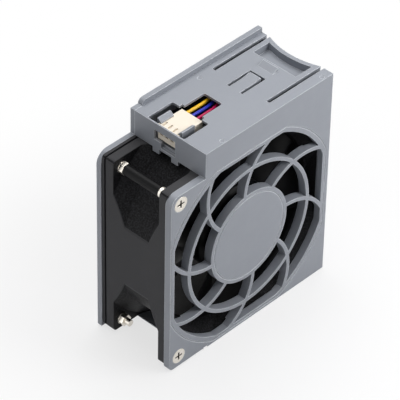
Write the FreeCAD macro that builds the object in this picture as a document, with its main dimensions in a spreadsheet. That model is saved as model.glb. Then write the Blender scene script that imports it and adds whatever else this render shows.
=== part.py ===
import FreeCAD, Part
import Sketcher
import math
import os
import re

# Server fan module: an axial fan clamped between a moulded front cover with a swirled
# finger guard and a rear cover. A cable box on top holds the lead's plug, which faces left,
# and a flexible release latch with a finger pocket at its right-hand end.
# Frame: X to the right seen from the guard, Y from the guard to the back, Z up, in mm.
# The origin is the middle of the overall footprint, on the surface the module stands on.

SIZES = (
    # fan and covers
    ("fan_side", 80.0), ("fan_depth", 32.0), ("fan_corner", 1.8), ("screw_inset", 4.25),
    ("fan_gap", 0.5), ("side_gap", 0.2), ("side_wall", 1.6), ("floor_wall", 0.9), ("floor_gap", 0.1),
    ("front_wall", 2.9), ("rear_wall", 2.1), ("plate_corner", 3.8), ("rear_corner", 5.0),
    ("foot_corner", 1.8), ("foot_step", 17.2), ("foot_rise", 0.5), ("floor_start", 13.3),
    ("notch_wide", 2.2), ("notch_high", 0.8), ("notch_deep", 1.2), ("mark_rad", 0.9), ("mark_sink", 0.15),
    ("mark_left", 9.5), ("mark_middle", 29.6), ("mark_right", 4.4), ("mark_back", 3.1),
    # air opening and guard
    ("rim_stock", 1.5), ("corner_reach", 3.2), ("rim_wide", 1.8), ("rim_groove", 0.45),
    ("rim_sink", 0.2),
    ("guard_hub_rad", 19.7), ("guard_hub_thick", 2.0), ("guard_lip", 1.4), ("guard_line", 0.5),
    ("guard_ring_rad", 31.7), ("guard_rib", 1.5), ("guard_deep", 3.5), ("spoke_bend", 23.0),
    ("spoke_lead", 8.4), ("spoke_trail", 19.5), ("spoke_count", 8.0), ("spoke_over", 1.8),
    # cable box
    ("box_start", 16.9), ("box_high", 10.9), ("box_wall", 1.0), ("lip_start", 20.6), ("lip_high", 2.0),
    ("lip_corner", 1.9), ("plug_win_left", 0.6), ("plug_win_long", 12.3), ("plug_win_wide", 17.8),
    ("win_line", 1.6), ("win_corner", 0.9), ("plug_line", 1.2), ("neck_long", 1.5), ("neck_wide", 11.0),
    ("wire_win_long", 10.1),
    ("wire_win_wide", 8.8), ("mouth_wide", 10.2), ("mouth_low", 1.0), ("mouth_high", 6.8),
    ("sill_wide", 3.3), ("sill_high", 2.6), ("tab_wide", 3.2), ("tab_drop", 2.0), ("tab_apart", 9.2),
    # plug and its cradle
    ("plug_long", 11.9), ("plug_wide", 10.2), ("plug_high", 6.3), ("plug_inset", 1.5),
    ("plug_drop", 1.1), ("pin_pitch", 2.54), ("pin_hole", 1.4), ("pin_wall", 0.1),
    ("pin_off", -0.45), ("pin_level", 2.7), ("tail_long", 0.6),
    ("plug_slot_long", 2.4), ("plug_slot_wide", 0.7), ("cradle_step", 1.8), ("cradle_floor", 1.9),
    ("cradle_long", 12.7), ("cradle_side", 0.9), ("cradle_gap", 0.1), ("arm_start", 0.6),
    ("arm_long", 6.3), ("hook_over", 1.0), ("hook_thick", 0.4), ("hook_rise", 0.6), ("rail_wide", 1.4),
    # release latch and snap finger
    ("latch_root", 53.6), ("latch_wide", 24.9), ("latch_thick", 1.4), ("latch_slot", 1.6),
    ("slot_end", 0.6), ("pocket_start", 17.7), ("pocket_deep", 3.2), ("pocket_floor", 1.0),
    ("pocket_rib", 2.1), ("grip_bend", 32.0), ("grip_mid", 26.1), ("grip_wall", 1.7),
    ("grip_high", 7.4), ("catch_start", 12.8), ("catch_long", 2.8), ("catch_wide", 7.4),
    ("catch_high", 1.45), ("finger_root", 50.5), ("finger_long", 10.9), ("finger_wide", 5.2),
    ("finger_slot", 1.15), ("finger_end_gap", 1.3), ("finger_thick", 1.2), ("finger_bump", 0.5),
    ("bump_long", 4.2), ("grip_sill", 1.0),
    # fan frame
    ("front_flange", 3.5), ("rear_flange", 5.7), ("waist_wall", 3.5), ("cone_rise", 5.2),
    ("front_cone", 5.2), ("rear_cone", 5.6), ("bore_stock", 1.5), ("flare_reach", 3.0),
    ("flare_stock", 1.0), ("flare_deep", 7.0), ("hole_rad", 1.8), ("seam_back", 1.2),
    ("seam_wide", 0.9), ("seam_deep", 0.6), ("lead_angle", 70.0), ("lead_wide", 6.4), ("lead_run", 2.5),
    ("lead_ease", 0.8),
    # motor mount
    ("dish_wall", 1.4), ("dish_floor", 1.5), ("dish_deep", 3.0),
    ("strut_wide", 3.2), ("strut_thick", 3.0), ("strut_count", 4.0), ("lead_wall", 1.0),
    ("channel_deep", 1.8), ("tube_bore", 4.0), ("tube_wall", 1.2), ("tube_front", 10.1),
    ("tube_end", 2.7),
    # rotor
    ("hub_rad", 18.0), ("hub_front", 3.6), ("hub_back", 5.0), ("hub_skin", 1.6), ("hub_edge", 1.5),
    ("tip_gap", 0.7), ("blade_count", 7.0), ("root_front", 6.0), ("root_long", 18.5),
    ("root_turn", 7.0), ("tip_front", 7.0), ("tip_long", 15.5), ("tip_turn", 14.5),
    ("root_outer_bend", 18.0), ("root_inner_bend", 25.0), ("tip_outer_bend", 30.0),
    ("tip_inner_bend", 38.0), ("yoke_thick", 0.9), ("yoke_long", 17.8), ("magnet_thick", 1.8),
    ("magnet_start", 3.3), ("magnet_long", 13.0), ("bush_rad", 3.0), ("bush_hole_rad", 2.5),
    ("bush_long", 5.0), ("shaft_rad", 1.5), ("shaft_start", 0.6), ("shaft_end", 3.0),
    ("shaft_fit", 0.02), ("clip_rad", 2.9), ("clip_thick", 0.3), ("clip_groove", 0.35),
    ("clip_play", 0.05), ("bearing_wide", 4.0), ("bearing_inset", 1.0), ("rear_bearing_at", 23.9),
    ("race_thick", 0.6), ("shield_inset", 0.2), ("spring_thick", 0.4), ("spring_play", 0.1),
    # stator
    ("air_gap", 0.4), ("stator_start", 11.5), ("stator_long", 7.0), ("core_ring", 1.8),
    ("pole_wide", 3.6), ("shoe_thick", 1.5), ("shoe_half_angle", 36.0), ("insul_thick", 0.8),
    ("insul_side", 0.5), ("coil_thick", 1.8), ("coil_gap", 0.1), ("board_side", 0.7),
    ("board_thick", 1.2), ("board_at", 28.4), ("chip_long", 5.0), ("chip_wide", 4.0),
    ("chip_thick", 1.2), ("chip_edge", 5.9), ("sensor_size", 2.4), ("board_gap", 0.05),
    # fasteners
    ("screw_rad", 1.3), ("screw_hole_rad", 1.5), ("head_rad", 3.05), ("head_gap", 0.08),
    ("screw_stick", 0.8), ("rear_stick", 2.2), ("cross_long", 3.4), ("cross_wide", 0.7),
    ("cross_deep", 1.1), ("nut_flats", 4.2), ("nut_thick", 1.9), ("front_nut_thick", 1.0),
    ("washer_rad", 2.3),
    ("washer_thick", 0.5), ("sleeve_wall", 0.7), ("sleeve_gap", 0.05), ("peg_rad", 1.65),
    ("peg_long", 3.0),
    # lead wires
    ("wire_rad", 0.65), ("wire_space", 0.24), ("wire_level", 1.3), ("wire_sink", 2.3), ("wire_out", 2.0),
    ("wire_turn_at", 43.5), ("wire_step", 1.0), ("wire_drop", 1.1), ("wire_ease", 0.3),
    ("wire_top_rad", 45.5), ("wire_land_rad", 36.0),
)

DERIVED = (
    ("width_all", "fan_gap + fan_side + side_gap + side_wall"),
    ("depth_all", "front_wall + fan_depth + rear_wall"),
    ("x_left", "-(width_all)/2"), ("x_right", "(width_all)/2"),
    ("y_front", "-(depth_all)/2"), ("y_back", "(depth_all)/2"),
    ("y_fan", "y_front + front_wall"), ("y_fan_end", "y_back - rear_wall"),
    ("fan_half", "fan_side/2"), ("fan_x", "x_left + fan_gap + fan_half"),
    ("bore_rad", "fan_half - bore_stock"), ("waist_rad", "bore_rad + waist_wall"),
    ("shoulder_rad", "waist_rad + cone_rise"), ("opening_flat", "fan_half - rim_stock"),
    ("opening_rad", "opening_flat + corner_reach"), ("spoke_end", "opening_rad + spoke_over"),
    ("flare_flat", "fan_half - flare_stock"), ("flare_rad", "flare_flat + flare_reach"),
    ("dish_rad", "hub_rad"), ("board_rad", "dish_rad - dish_wall - board_side"),
    ("chip_at", "board_rad - chip_edge"),
    ("fan_z", "floor_wall + floor_gap + fan_half"),
    ("z_fan", "fan_z + fan_half"), ("z_top", "z_fan + box_high"),
    ("x_box", "x_left + box_start"), ("x_foot", "x_left + foot_step"),
    ("x_latch", "x_left + latch_root"), ("x_finger", "x_left + finger_root"),
    ("cut_half", "latch_wide/2 + latch_slot"), ("hole_half", "finger_wide/2 + finger_slot"),
    ("screw_half", "fan_half - screw_inset"), ("tip_rad", "bore_rad - tip_gap"),
    ("x_win", "x_box + plug_win_left"), ("x_neck", "x_win + plug_win_long"),
    ("x_wire_win", "x_neck + neck_long"), ("x_win_end", "x_wire_win + wire_win_long"),
    ("plug_x", "x_box + plug_inset"), ("plug_z", "z_top - plug_drop - plug_high"),
    ("plug_half", "plug_wide/2"), ("pin_z", "plug_z + pin_level"),
    ("wire_z", "plug_z + plug_high - wire_level"), ("x_grip", "x_latch + grip_mid"),
    ("yoke_rad", "hub_rad - hub_skin"), ("magnet_rad", "yoke_rad - yoke_thick"),
    ("core_rad", "magnet_rad - magnet_thick - air_gap"), ("tube_rad", "tube_bore + tube_wall"),
    ("cup_floor", "hub_front + hub_skin"), ("bush_back", "hub_front + bush_long"),
    ("front_bearing_at", "tube_front + bearing_inset"),
)

NAMES = {}
V = FreeCAD.Vector


def expand(text):
    """Write every size and derived length of an expression as sheet cells."""
    pattern = re.compile(r"[A-Za-z_][A-Za-z_0-9]*")
    return pattern.sub(lambda m: NAMES.get(m.group(0), m.group(0)), str(text))


def make_sheet(doc):
    """The driving dimensions, one named cell each."""
    sheet = doc.addObject("Spreadsheet::Sheet", "Sizes")
    for row, (name, size) in enumerate(SIZES, start=1):
        sheet.set("A%d" % row, name)
        sheet.set("B%d" % row, str(size))
        sheet.setAlias("B%d" % row, name)
        NAMES[name] = "Sizes." + name
    for name, text in DERIVED:
        NAMES[name] = "(" + expand(text) + ")"
    doc.recompute()
    return sheet


doc = FreeCAD.newDocument("server_fan_module")
sheet = make_sheet(doc)
NODES = []


def value(text):
    """The number that an expression gives with the sheet's present sizes."""
    found = sheet.evalExpression(expand(text).replace("Sizes.", ""))
    return float(getattr(found, "Value", found))


def bind(obj, prop, text):
    """Tie one property to an expression of named sizes."""
    obj.setExpression(prop, expand(text))


def place(obj, x="0", y="0", z="0"):
    """Tie an object's position to named sizes."""
    bind(obj, "Placement.Base.x", x)
    bind(obj, "Placement.Base.y", y)
    bind(obj, "Placement.Base.z", z)


def keep(obj, label):
    """Name a finished sub-part; its label is the file's name."""
    obj.Label = label
    NODES.append(obj)
    return obj


def new_body(name):
    return doc.addObject("PartDesign::Body", name)


def fan_body(name):
    """A body whose own origin lies on the fan's axis, in the fan's front face."""
    body = new_body(name)
    place(body, "fan_x", "y_fan", "fan_z")
    return body


def new_sketch(body, plane, level="0"):
    """A sketch on an origin plane, moved along that plane's normal to a level."""
    sk = body.newObject("Sketcher::SketchObject", body.Name + "_sketch")
    parts = [o for o in body.Origin.OriginFeatures if o.Role == plane + "_Plane"]
    sk.AttachmentSupport = [(parts[0], "")]
    sk.MapMode = "FlatFace"
    sign = "-1*" if plane == "XZ" else ""
    bind(sk, "AttachmentOffset.Base.z", sign + "(" + level + ")")
    return sk


def pin_point(sk, geo, end, x, y):
    """Dimension one sketch point from the sketch's origin."""
    for kind, text in (("DistanceX", x), ("DistanceY", y)):
        sk.addConstraint(Sketcher.Constraint(kind, -1, 1, geo, end, value(text)))
        bind(sk, "Constraints[%d]" % (sk.ConstraintCount - 1), text)


def size_curve(sk, geo, radius):
    """Dimension the radius of an arc or circle."""
    sk.addConstraint(Sketcher.Constraint("Radius", geo, value(radius)))
    bind(sk, "Constraints[%d]" % (sk.ConstraintCount - 1), radius)


def spot(point):
    """A dimensioned point as a vector of its present size."""
    return V(value(point[0]), value(point[1]), 0)


def outline(sk, points):
    """A closed outline of straight edges through dimensioned points."""
    spots = [spot(p) for p in points]
    count = len(points)
    first = sk.GeometryCount
    for i in range(count):
        sk.addGeometry(Part.LineSegment(spots[i], spots[(i + 1) % count]), False)
    for i in range(count):
        sk.addConstraint(Sketcher.Constraint("Coincident", first + i, 2, first + (i + 1) % count, 1))
    for i, (x, y) in enumerate(points):
        pin_point(sk, first + i, 1, x, y)


def rectangle(sk, left, low, right, high):
    outline(sk, [(left, low), (right, low), (right, high), (left, high)])


def circle(sk, x, y, radius):
    """A circle with its centre and radius dimensioned."""
    geo = sk.addGeometry(Part.Circle(spot((x, y)), V(0, 0, 1), value(radius)), False)
    pin_point(sk, geo, 3, x, y)
    size_curve(sk, geo, radius)


def arc_between(sk, start, end, radius, bulge):
    """An arc of a dimensioned radius; bulge is the side it swells to, left (1) or right (-1)."""
    a = spot(start)
    b = spot(end)
    rad = value(radius)
    half = (b - a).Length / 2
    rise = rad - math.sqrt(rad * rad - half * half)
    side = V(-(b - a).y, (b - a).x, 0).normalize()
    middle = (a + b) * 0.5 + side * (rise * bulge)
    geo = sk.addGeometry(Part.Arc(a, middle, b), False)
    flipped = (sk.getPoint(geo, 1) - a).Length > 1e-6
    tail = 2 if flipped else 1
    size_curve(sk, geo, radius)
    return geo, tail


def mixed_outline(sk, points, curves):
    """A closed outline; curves maps an edge's number to its arc radius and bulge side."""
    count = len(points)
    ends = []
    for i in range(count):
        a = points[i]
        b = points[(i + 1) % count]
        if i in curves:
            geo, tail = arc_between(sk, a, b, curves[i][0], curves[i][1])
        else:
            geo = sk.addGeometry(Part.LineSegment(spot(a), spot(b)), False)
            tail = 1
        ends.append((geo, tail, 3 - tail))
    for i in range(count):
        after = ends[(i + 1) % count]
        sk.addConstraint(Sketcher.Constraint("Coincident", ends[i][0], ends[i][2], after[0], after[1]))
    for i, (x, y) in enumerate(points):
        pin_point(sk, ends[i][0], ends[i][1], x, y)


def pad(body, sk, length, back=False, midplane=False):
    """Thicken a sketch; back sends it against the sketch's normal."""
    feature = body.newObject("PartDesign::Pad", body.Name + "_pad")
    feature.Profile = sk
    bind(feature, "Length", length)
    feature.Reversed = back
    feature.Midplane = midplane
    body.Tip = feature
    return feature


def pocket(body, sk, length, back=False, midplane=False):
    """Cut a sketch away, checking that it removes material."""
    doc.recompute()
    before = body.Shape.Volume
    feature = body.newObject("PartDesign::Pocket", body.Name + "_pocket")
    feature.Profile = sk
    bind(feature, "Length", length)
    feature.Reversed = back
    feature.Midplane = midplane
    body.Tip = feature
    doc.recompute()
    if body.Shape.Volume > before - 1e-6:
        raise RuntimeError(body.Name + ": a pocket removes nothing")
    return feature


def turned(body, sk, cut=False, angle="360"):
    """Revolve a sketch about its vertical axis, or cut it away."""
    kind = "PartDesign::Groove" if cut else "PartDesign::Revolution"
    feature = body.newObject(kind, body.Name + "_turn")
    feature.Profile = sk
    feature.ReferenceAxis = (sk, ["V_Axis"])
    bind(feature, "Angle", angle)
    body.Tip = feature
    return feature


def turned_piece(label, points):
    """A turned piece round the fan's axis; points are radius and depth."""
    body = fan_body(label)
    sk = new_sketch(body, "XY")
    outline(sk, points)
    turned(body, sk)
    return keep(body, label)


def edges_where(body, test):
    """The tip's edges that pass a test on their ends."""
    doc.recompute()
    names = []
    for number, edge in enumerate(body.Tip.Shape.Edges, start=1):
        if len(edge.Vertexes) == 2 and test(edge.Vertexes[0].Point, edge.Vertexes[1].Point):
            names.append("Edge%d" % number)
    return names


def corner_test(axis, *spots):
    """Edges along one axis whose other two coordinates match a spot."""
    places = [[value(t) for t in s] for s in spots]
    others = [k for k in range(3) if k != axis]

    def test(a, b):
        along = abs(a[axis] - b[axis]) > 1e-4
        for at in places:
            near = all(abs(p[k] - at[i]) < 1e-4 for p in (a, b) for i, k in enumerate(others))
            if near and along:
                return True
        return False
    return test


def dress(body, kind, test, prop, size):
    """Fillet or chamfer the edges that pass a test."""
    names = edges_where(body, test)
    base = body.Tip
    feature = body.newObject("PartDesign::" + kind, body.Name + "_" + kind.lower())
    feature.Base = (base, names)
    bind(feature, prop, size)
    body.Tip = feature
    return feature


def around(body, features, count):
    """Repeat features about the fan's axis."""
    feature = body.newObject("PartDesign::PolarPattern", body.Name + "_ring")
    feature.Originals = features
    axis = [o for o in body.Origin.OriginFeatures if o.Role == "Y_Axis"][0]
    feature.Axis = (axis, [""])
    feature.Angle = 360
    bind(feature, "Occurrences", count)
    body.Tip = feature
    return feature


def air_outline(sk, radius, flat, x="fan_x", z="fan_z"):
    """The air opening: a circle cut off by four flats."""
    run = "sqrt((%s)^2 - (%s)^2)" % (radius, flat)
    spots = ((1, -1, 0), (1, 1, 0), (1, 1, 1), (-1, 1, 1), (-1, 1, 0), (-1, -1, 0), (-1, -1, 1), (1, -1, 1))
    points = []
    for sx, sz, turn in spots:
        wide, high = (run, flat) if turn else (flat, run)
        points.append(("%s + %d*(%s)" % (x, sx, wide), "%s + %d*(%s)" % (z, sz, high)))
    bend = (radius, -1)
    mixed_outline(sk, points, {1: bend, 3: bend, 5: bend, 7: bend})


# ---------------------------------------------------------------- covers

def guard_opening(body):
    """Cut the air opening and the fine line outside its rim."""
    sk = new_sketch(body, "XZ", "y_front")
    air_outline(sk, "opening_rad", "opening_flat")
    pocket(body, sk, "front_wall", back=False)
    sk = new_sketch(body, "XZ", "y_front")
    air_outline(sk, "opening_rad + rim_wide", "opening_flat + rim_wide*0.72")
    outer = "opening_rad + rim_wide + rim_groove"
    air_outline(sk, outer, "opening_flat + rim_wide*0.72 + rim_groove")
    pocket(body, sk, "rim_sink", back=False)


def screw_seats(body, level, deep, back):
    """Clearance holes for the two left-hand screws, countersunk on the outside."""
    x = "fan_x - screw_half"
    sk = new_sketch(body, "XZ", level)
    circle(sk, x, "fan_z + screw_half", "screw_hole_rad")
    circle(sk, x, "fan_z - screw_half", "screw_hole_rad")
    pocket(body, sk, deep, back=back)
    doc.recompute()
    names = []
    want = value("screw_hole_rad")
    for number, edge in enumerate(body.Tip.Shape.Edges, start=1):
        if edge.Curve.TypeId != "Part::GeomCircle" or abs(edge.Curve.Radius - want) > 1e-4:
            continue
        if abs(edge.Curve.Center.y - value(level)) < 1e-4:
            names.append("Edge%d" % number)
    base = body.Tip
    feature = body.newObject("PartDesign::Chamfer", body.Name + "_sink")
    feature.Base = (base, names)
    bind(feature, "Size", "head_rad + head_gap - screw_hole_rad")
    body.Tip = feature


def right_pegs(body, level, back):
    """Two pegs that stand in the fan's right-hand screw holes."""
    for sign in ("+", "-"):
        sk = new_sketch(body, "XZ", level)
        circle(sk, "fan_x + screw_half", "fan_z %s screw_half" % sign, "peg_rad")
        pad(body, sk, "peg_long", back=back)


def round_mark(body, x, y):
    """A shallow ejector mark in the top face."""
    sk = new_sketch(body, "XY", "z_top")
    circle(sk, x, y, "mark_rad")
    pocket(body, sk, "mark_sink")


def front_plate():
    """The front face: square plate, taller over the cable box, with the air opening."""
    body = new_body("front_plate")
    sk = new_sketch(body, "XZ", "y_front")
    outline(sk, [("x_left", "foot_rise"), ("x_foot", "foot_rise"), ("x_foot + foot_rise", "0"),
                 ("x_right", "0"), ("x_right", "z_top"), ("x_box", "z_top"),
                 ("x_box", "z_fan"), ("x_left", "z_fan")])
    pad(body, sk, "front_wall", back=True)
    dress(body, "Fillet", corner_test(1, ("x_left", "z_fan")), "Radius", "plate_corner")
    dress(body, "Fillet", corner_test(1, ("x_left", "foot_rise")), "Radius", "foot_corner")
    guard_opening(body)
    sk = new_sketch(body, "XZ", "y_front")
    rectangle(sk, "x_foot + foot_rise", "-1", "x_foot + foot_rise + notch_wide", "notch_high")
    pocket(body, sk, "notch_deep", back=False)
    round_mark(body, "x_box + mark_left", "y_front + front_wall/2")
    round_mark(body, "x_right - mark_right", "y_front + front_wall/2")
    screw_seats(body, "y_front", "front_wall", False)
    right_pegs(body, "y_fan", True)
    return keep(body, "front_plate")


def rear_cover():
    """The rear plate, with its lip standing above the cable box."""
    body = new_body("rear_cover")
    sk = new_sketch(body, "XZ", "y_fan_end")
    outline(sk, [("x_left", "foot_rise"), ("x_foot", "foot_rise"), ("x_foot + foot_rise", "0"),
                 ("x_right", "0"), ("x_right", "z_top + lip_high"),
                 ("x_left + lip_start", "z_top + lip_high"), ("x_left + lip_start", "z_top"),
                 ("x_box", "z_top"), ("x_box", "z_fan"), ("x_left", "z_fan")])
    pad(body, sk, "rear_wall", back=True)
    dress(body, "Fillet", corner_test(1, ("x_left", "z_fan")), "Radius", "rear_corner")
    dress(body, "Fillet", corner_test(1, ("x_left + lip_start", "z_top + lip_high")), "Radius", "lip_corner")
    sk = new_sketch(body, "XZ", "y_back")
    air_outline(sk, "opening_rad", "opening_flat")
    pocket(body, sk, "rear_wall", back=True)
    screw_seats(body, "y_back", "rear_wall", True)
    right_pegs(body, "y_fan_end", False)
    return keep(body, "rear_cover")


def cable_box_hollow(body):
    """Leave the walls of the cable box, open below and to the back."""
    sk = new_sketch(body, "XZ", "y_fan")
    rectangle(sk, "x_box + box_wall", "z_fan", "x_right - side_wall", "z_top - box_wall")
    pocket(body, sk, "fan_depth", back=False)


def cable_box_top(body):
    """Windows over the plug and its wires, and the cut-out that frees the latch."""
    sk = new_sketch(body, "XY", "z_top")
    half = "plug_win_wide/2"
    neck = "neck_wide/2"
    wire = "wire_win_wide/2"
    right = [("x_win", "-"), ("x_neck", "-"), ("x_neck", "n-"), ("x_wire_win", "n-"),
             ("x_wire_win", "w-"), ("x_win_end", "w-"), ("x_win_end", "w+"), ("x_wire_win", "w+"),
             ("x_wire_win", "n+"), ("x_neck", "n+"), ("x_neck", "+"), ("x_win", "+")]
    wide = {"": half, "n": neck, "w": wire}
    points = [(x, "win_line %s %s" % (mark[-1], wide[mark[:-1]])) for x, mark in right]
    outline(sk, points)
    pocket(body, sk, "box_wall")
    ends = (("x_win", half), ("x_neck", half), ("x_win_end", wire))
    corners = [(x, "win_line %s %s" % (sign, wide_at)) for x, wide_at in ends for sign in "+-"]
    dress(body, "Fillet", corner_test(2, *corners), "Radius", "win_corner")
    sk = new_sketch(body, "XY", "z_top")
    outline(sk, [("x_latch", "-cut_half"), ("x_right + 1", "-cut_half"), ("x_right + 1", "cut_half"),
                 ("x_latch", "cut_half"), ("x_latch", "hole_half"), ("x_finger", "hole_half"),
                 ("x_finger", "-hole_half"), ("x_latch", "-hole_half")])
    pocket(body, sk, "box_wall")
    corners = [("x_latch", "cut_half"), ("x_latch", "-cut_half")]
    dress(body, "Fillet", corner_test(2, *corners), "Radius", "slot_end")
    round_mark(body, "x_box + mark_middle", "y_fan_end - mark_back")


def cable_box_sides(body):
    """Mouth for the mating plug, hook tabs below it, and the grip's gap on the right."""
    sk = new_sketch(body, "YZ", "x_box")
    low = "z_fan + mouth_low"
    right = "win_line + mouth_wide/2"
    left = "win_line - mouth_wide/2"
    outline(sk, [(left, low), (right + " - sill_wide", low), (right + " - sill_wide", low + " + sill_high"),
                 (right, low + " + sill_high"), (right, low + " + mouth_high"),
                 (left, low + " + mouth_high")])
    pocket(body, sk, "box_wall", back=True)
    for sign in ("+", "-"):
        sk = new_sketch(body, "YZ", "x_box")
        near = "plug_line %s tab_apart/2 - tab_wide/2" % sign
        rectangle(sk, near, "z_fan - tab_drop", near + " + tab_wide", "z_fan + 0.01")
        pad(body, sk, "box_wall")
    sk = new_sketch(body, "YZ", "x_right")
    rectangle(sk, "-cut_half", "z_fan + grip_sill", "cut_half", "z_top + 1")
    pocket(body, sk, "side_wall")


def cable_box():
    body = new_body("cable_box")
    sk = new_sketch(body, "XZ", "y_fan")
    rectangle(sk, "x_box", "z_fan", "x_right", "z_top")
    pad(body, sk, "fan_depth", back=True)
    cable_box_top(body)
    cable_box_hollow(body)
    cable_box_sides(body)
    return keep(body, "cable_box")


def box_piece(label, spot, size):
    """A plain wall: a box placed and sized by named values."""
    obj = doc.addObject("Part::Box", label)
    for prop, text in zip(("Length", "Width", "Height"), size):
        bind(obj, prop, text)
    place(obj, *spot)
    return keep(obj, label)


def walls():
    """Right-hand wall and stepped floor between the front and rear covers."""
    box_piece("side_panel", ("x_right - side_wall", "y_fan", "0"), ("side_wall", "fan_depth", "z_fan"))
    body = new_body("floor_panel")
    sk = new_sketch(body, "XZ", "y_fan")
    outline(sk, [("x_left + floor_start", "foot_rise"), ("x_foot", "foot_rise"), ("x_foot + foot_rise", "0"),
                 ("x_right - side_wall", "0"), ("x_right - side_wall", "floor_wall"),
                 ("x_left + floor_start", "floor_wall")])
    pad(body, sk, "fan_depth", back=True)
    keep(body, "floor_panel")


def front_guard():
    """Finger guard: hub disc with a raised lip, ring and swirled spokes."""
    body = fan_body("guard_body")
    sk = new_sketch(body, "XZ", "-front_wall")
    circle(sk, "0", "0", "guard_hub_rad")
    pad(body, sk, "guard_hub_thick", back=True)
    sk = new_sketch(body, "XZ", "-front_wall")
    circle(sk, "0", "0", "guard_hub_rad")
    circle(sk, "0", "0", "guard_hub_rad - guard_rib")
    pad(body, sk, "guard_deep", back=True)
    sk = new_sketch(body, "XZ", "-front_wall")
    circle(sk, "0", "0", "guard_hub_rad - guard_lip")
    circle(sk, "0", "0", "guard_hub_rad - guard_lip - guard_line")
    pocket(body, sk, "rim_sink", back=False)
    first = guard_spoke(body)
    around(body, [first], "spoke_count")
    sk = new_sketch(body, "XZ", "-front_wall")
    circle(sk, "0", "0", "guard_ring_rad")
    circle(sk, "0", "0", "guard_ring_rad - guard_rib")
    pad(body, sk, "guard_deep", back=True)
    return trim_guard(body)


def guard_spoke(body):
    """One spoke: a rib between two arcs, bent as it runs out to the rim."""
    sk = new_sketch(body, "XZ", "-front_wall")
    half = "guard_rib/2"
    near = "(guard_hub_rad - guard_rib/2)"
    nx = near + "*cos(spoke_lead*1deg)"
    nz = near + "*sin(spoke_lead*1deg)"
    fx = "spoke_end*cos(spoke_trail*1deg)"
    fz = "-spoke_end*sin(spoke_trail*1deg)"
    lean_in = "(spoke_lead - 4)"
    lean_out = "(spoke_trail + 52)"
    points = [
        (nx + " - %s*sin(%s*1deg)" % (half, lean_in), nz + " - %s*cos(%s*1deg)" % (half, lean_in)),
        (fx + " - %s*sin(%s*1deg)" % (half, lean_out), fz + " - %s*cos(%s*1deg)" % (half, lean_out)),
        (fx + " + %s*sin(%s*1deg)" % (half, lean_out), fz + " + %s*cos(%s*1deg)" % (half, lean_out)),
        (nx + " + %s*sin(%s*1deg)" % (half, lean_in), nz + " + %s*cos(%s*1deg)" % (half, lean_in))]
    mixed_outline(sk, points, {0: ("spoke_bend - guard_rib/2", 1), 2: ("spoke_bend + guard_rib/2", -1)})
    return pad(body, sk, "guard_deep", back=True)


def trim_guard(body):
    """Trim the guard to the opening, and its ribs to the plate near the rim."""
    core = fan_body("guard_core")
    sk = new_sketch(core, "XZ", "-front_wall")
    air_outline(sk, "opening_rad", "opening_flat", "0", "0")
    pad(core, sk, "front_wall", back=True)
    deep = doc.addObject("Part::Cylinder", "guard_core_deep")
    bind(deep, "Radius", "bore_rad - 0.5")
    bind(deep, "Height", "guard_deep")
    deep.Placement.Rotation = FreeCAD.Rotation(V(1, 0, 0), -90)
    place(deep, "fan_x", "y_front", "fan_z")
    both = doc.addObject("Part::Fuse", "guard_limits")
    both.Base = core
    both.Tool = deep
    guard = doc.addObject("Part::Common", "front_guard")
    guard.Base = body
    guard.Tool = both
    return keep(guard, "front_guard")


# ---------------------------------------------------------------- fan frame and motor mount

def frame_body():
    """Square flanges joined by a round waist, bored for the impeller."""
    body = fan_body("frame_body")
    sk = new_sketch(body, "XZ")
    rectangle(sk, "-fan_half", "-fan_half", "fan_half", "fan_half")
    pad(body, sk, "fan_depth", back=True)
    corners = [("%sfan_half" % a, "%sfan_half" % b) for a in ("", "-") for b in ("", "-")]
    dress(body, "Fillet", corner_test(1, *corners), "Radius", "fan_corner")
    sk = new_sketch(body, "XY")
    back = "fan_depth - rear_flange"
    outline(sk, [("shoulder_rad", "front_flange"), ("waist_rad", "front_flange + front_cone"),
                 ("waist_rad", back + " - rear_cone"), ("shoulder_rad", back),
                 ("fan_side", back), ("fan_side", "front_flange")])
    turned(body, sk, cut=True)
    sk = new_sketch(body, "XZ")
    circle(sk, "0", "0", "bore_rad")
    pocket(body, sk, "fan_depth")
    sk = new_sketch(body, "XZ")
    for a, b in corners:
        circle(sk, a.replace("fan_half", "screw_half"), b.replace("fan_half", "screw_half"), "hole_rad")
    pocket(body, sk, "fan_depth")
    return body


def frame_details(body):
    """Seam line round the rear flange and the slot that lets the lead in."""
    sk = new_sketch(body, "XZ", "fan_depth - seam_back - seam_wide")
    rectangle(sk, "-fan_side", "-fan_side", "fan_side", "fan_side")
    inner = "fan_half - seam_deep"
    rectangle(sk, "-(%s)" % inner, "-(%s)" % inner, inner, inner)
    pocket(body, sk, "seam_wide")
    sk = new_sketch(body, "XZ", "fan_depth - rear_flange - lead_run")
    outline(sk, radial_box("bore_rad - 3", "bore_rad + 8", "lead_wide/2 + lead_ease"))
    pocket(body, sk, "lead_run + rear_flange + channel_deep - strut_thick")


def radial_box(near, far, half):
    """Corners of a rectangle laid along the lead's radial line."""
    c = "cos(lead_angle*1deg)"
    s = "sin(lead_angle*1deg)"
    points = []
    for run, side in ((near, "-1"), (far, "-1"), (far, "1"), (near, "1")):
        points.append(("(%s)*%s - %s*(%s)*%s" % (run, c, side, half, s),
                       "(%s)*%s + %s*(%s)*%s" % (run, s, side, half, c)))
    return points


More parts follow.
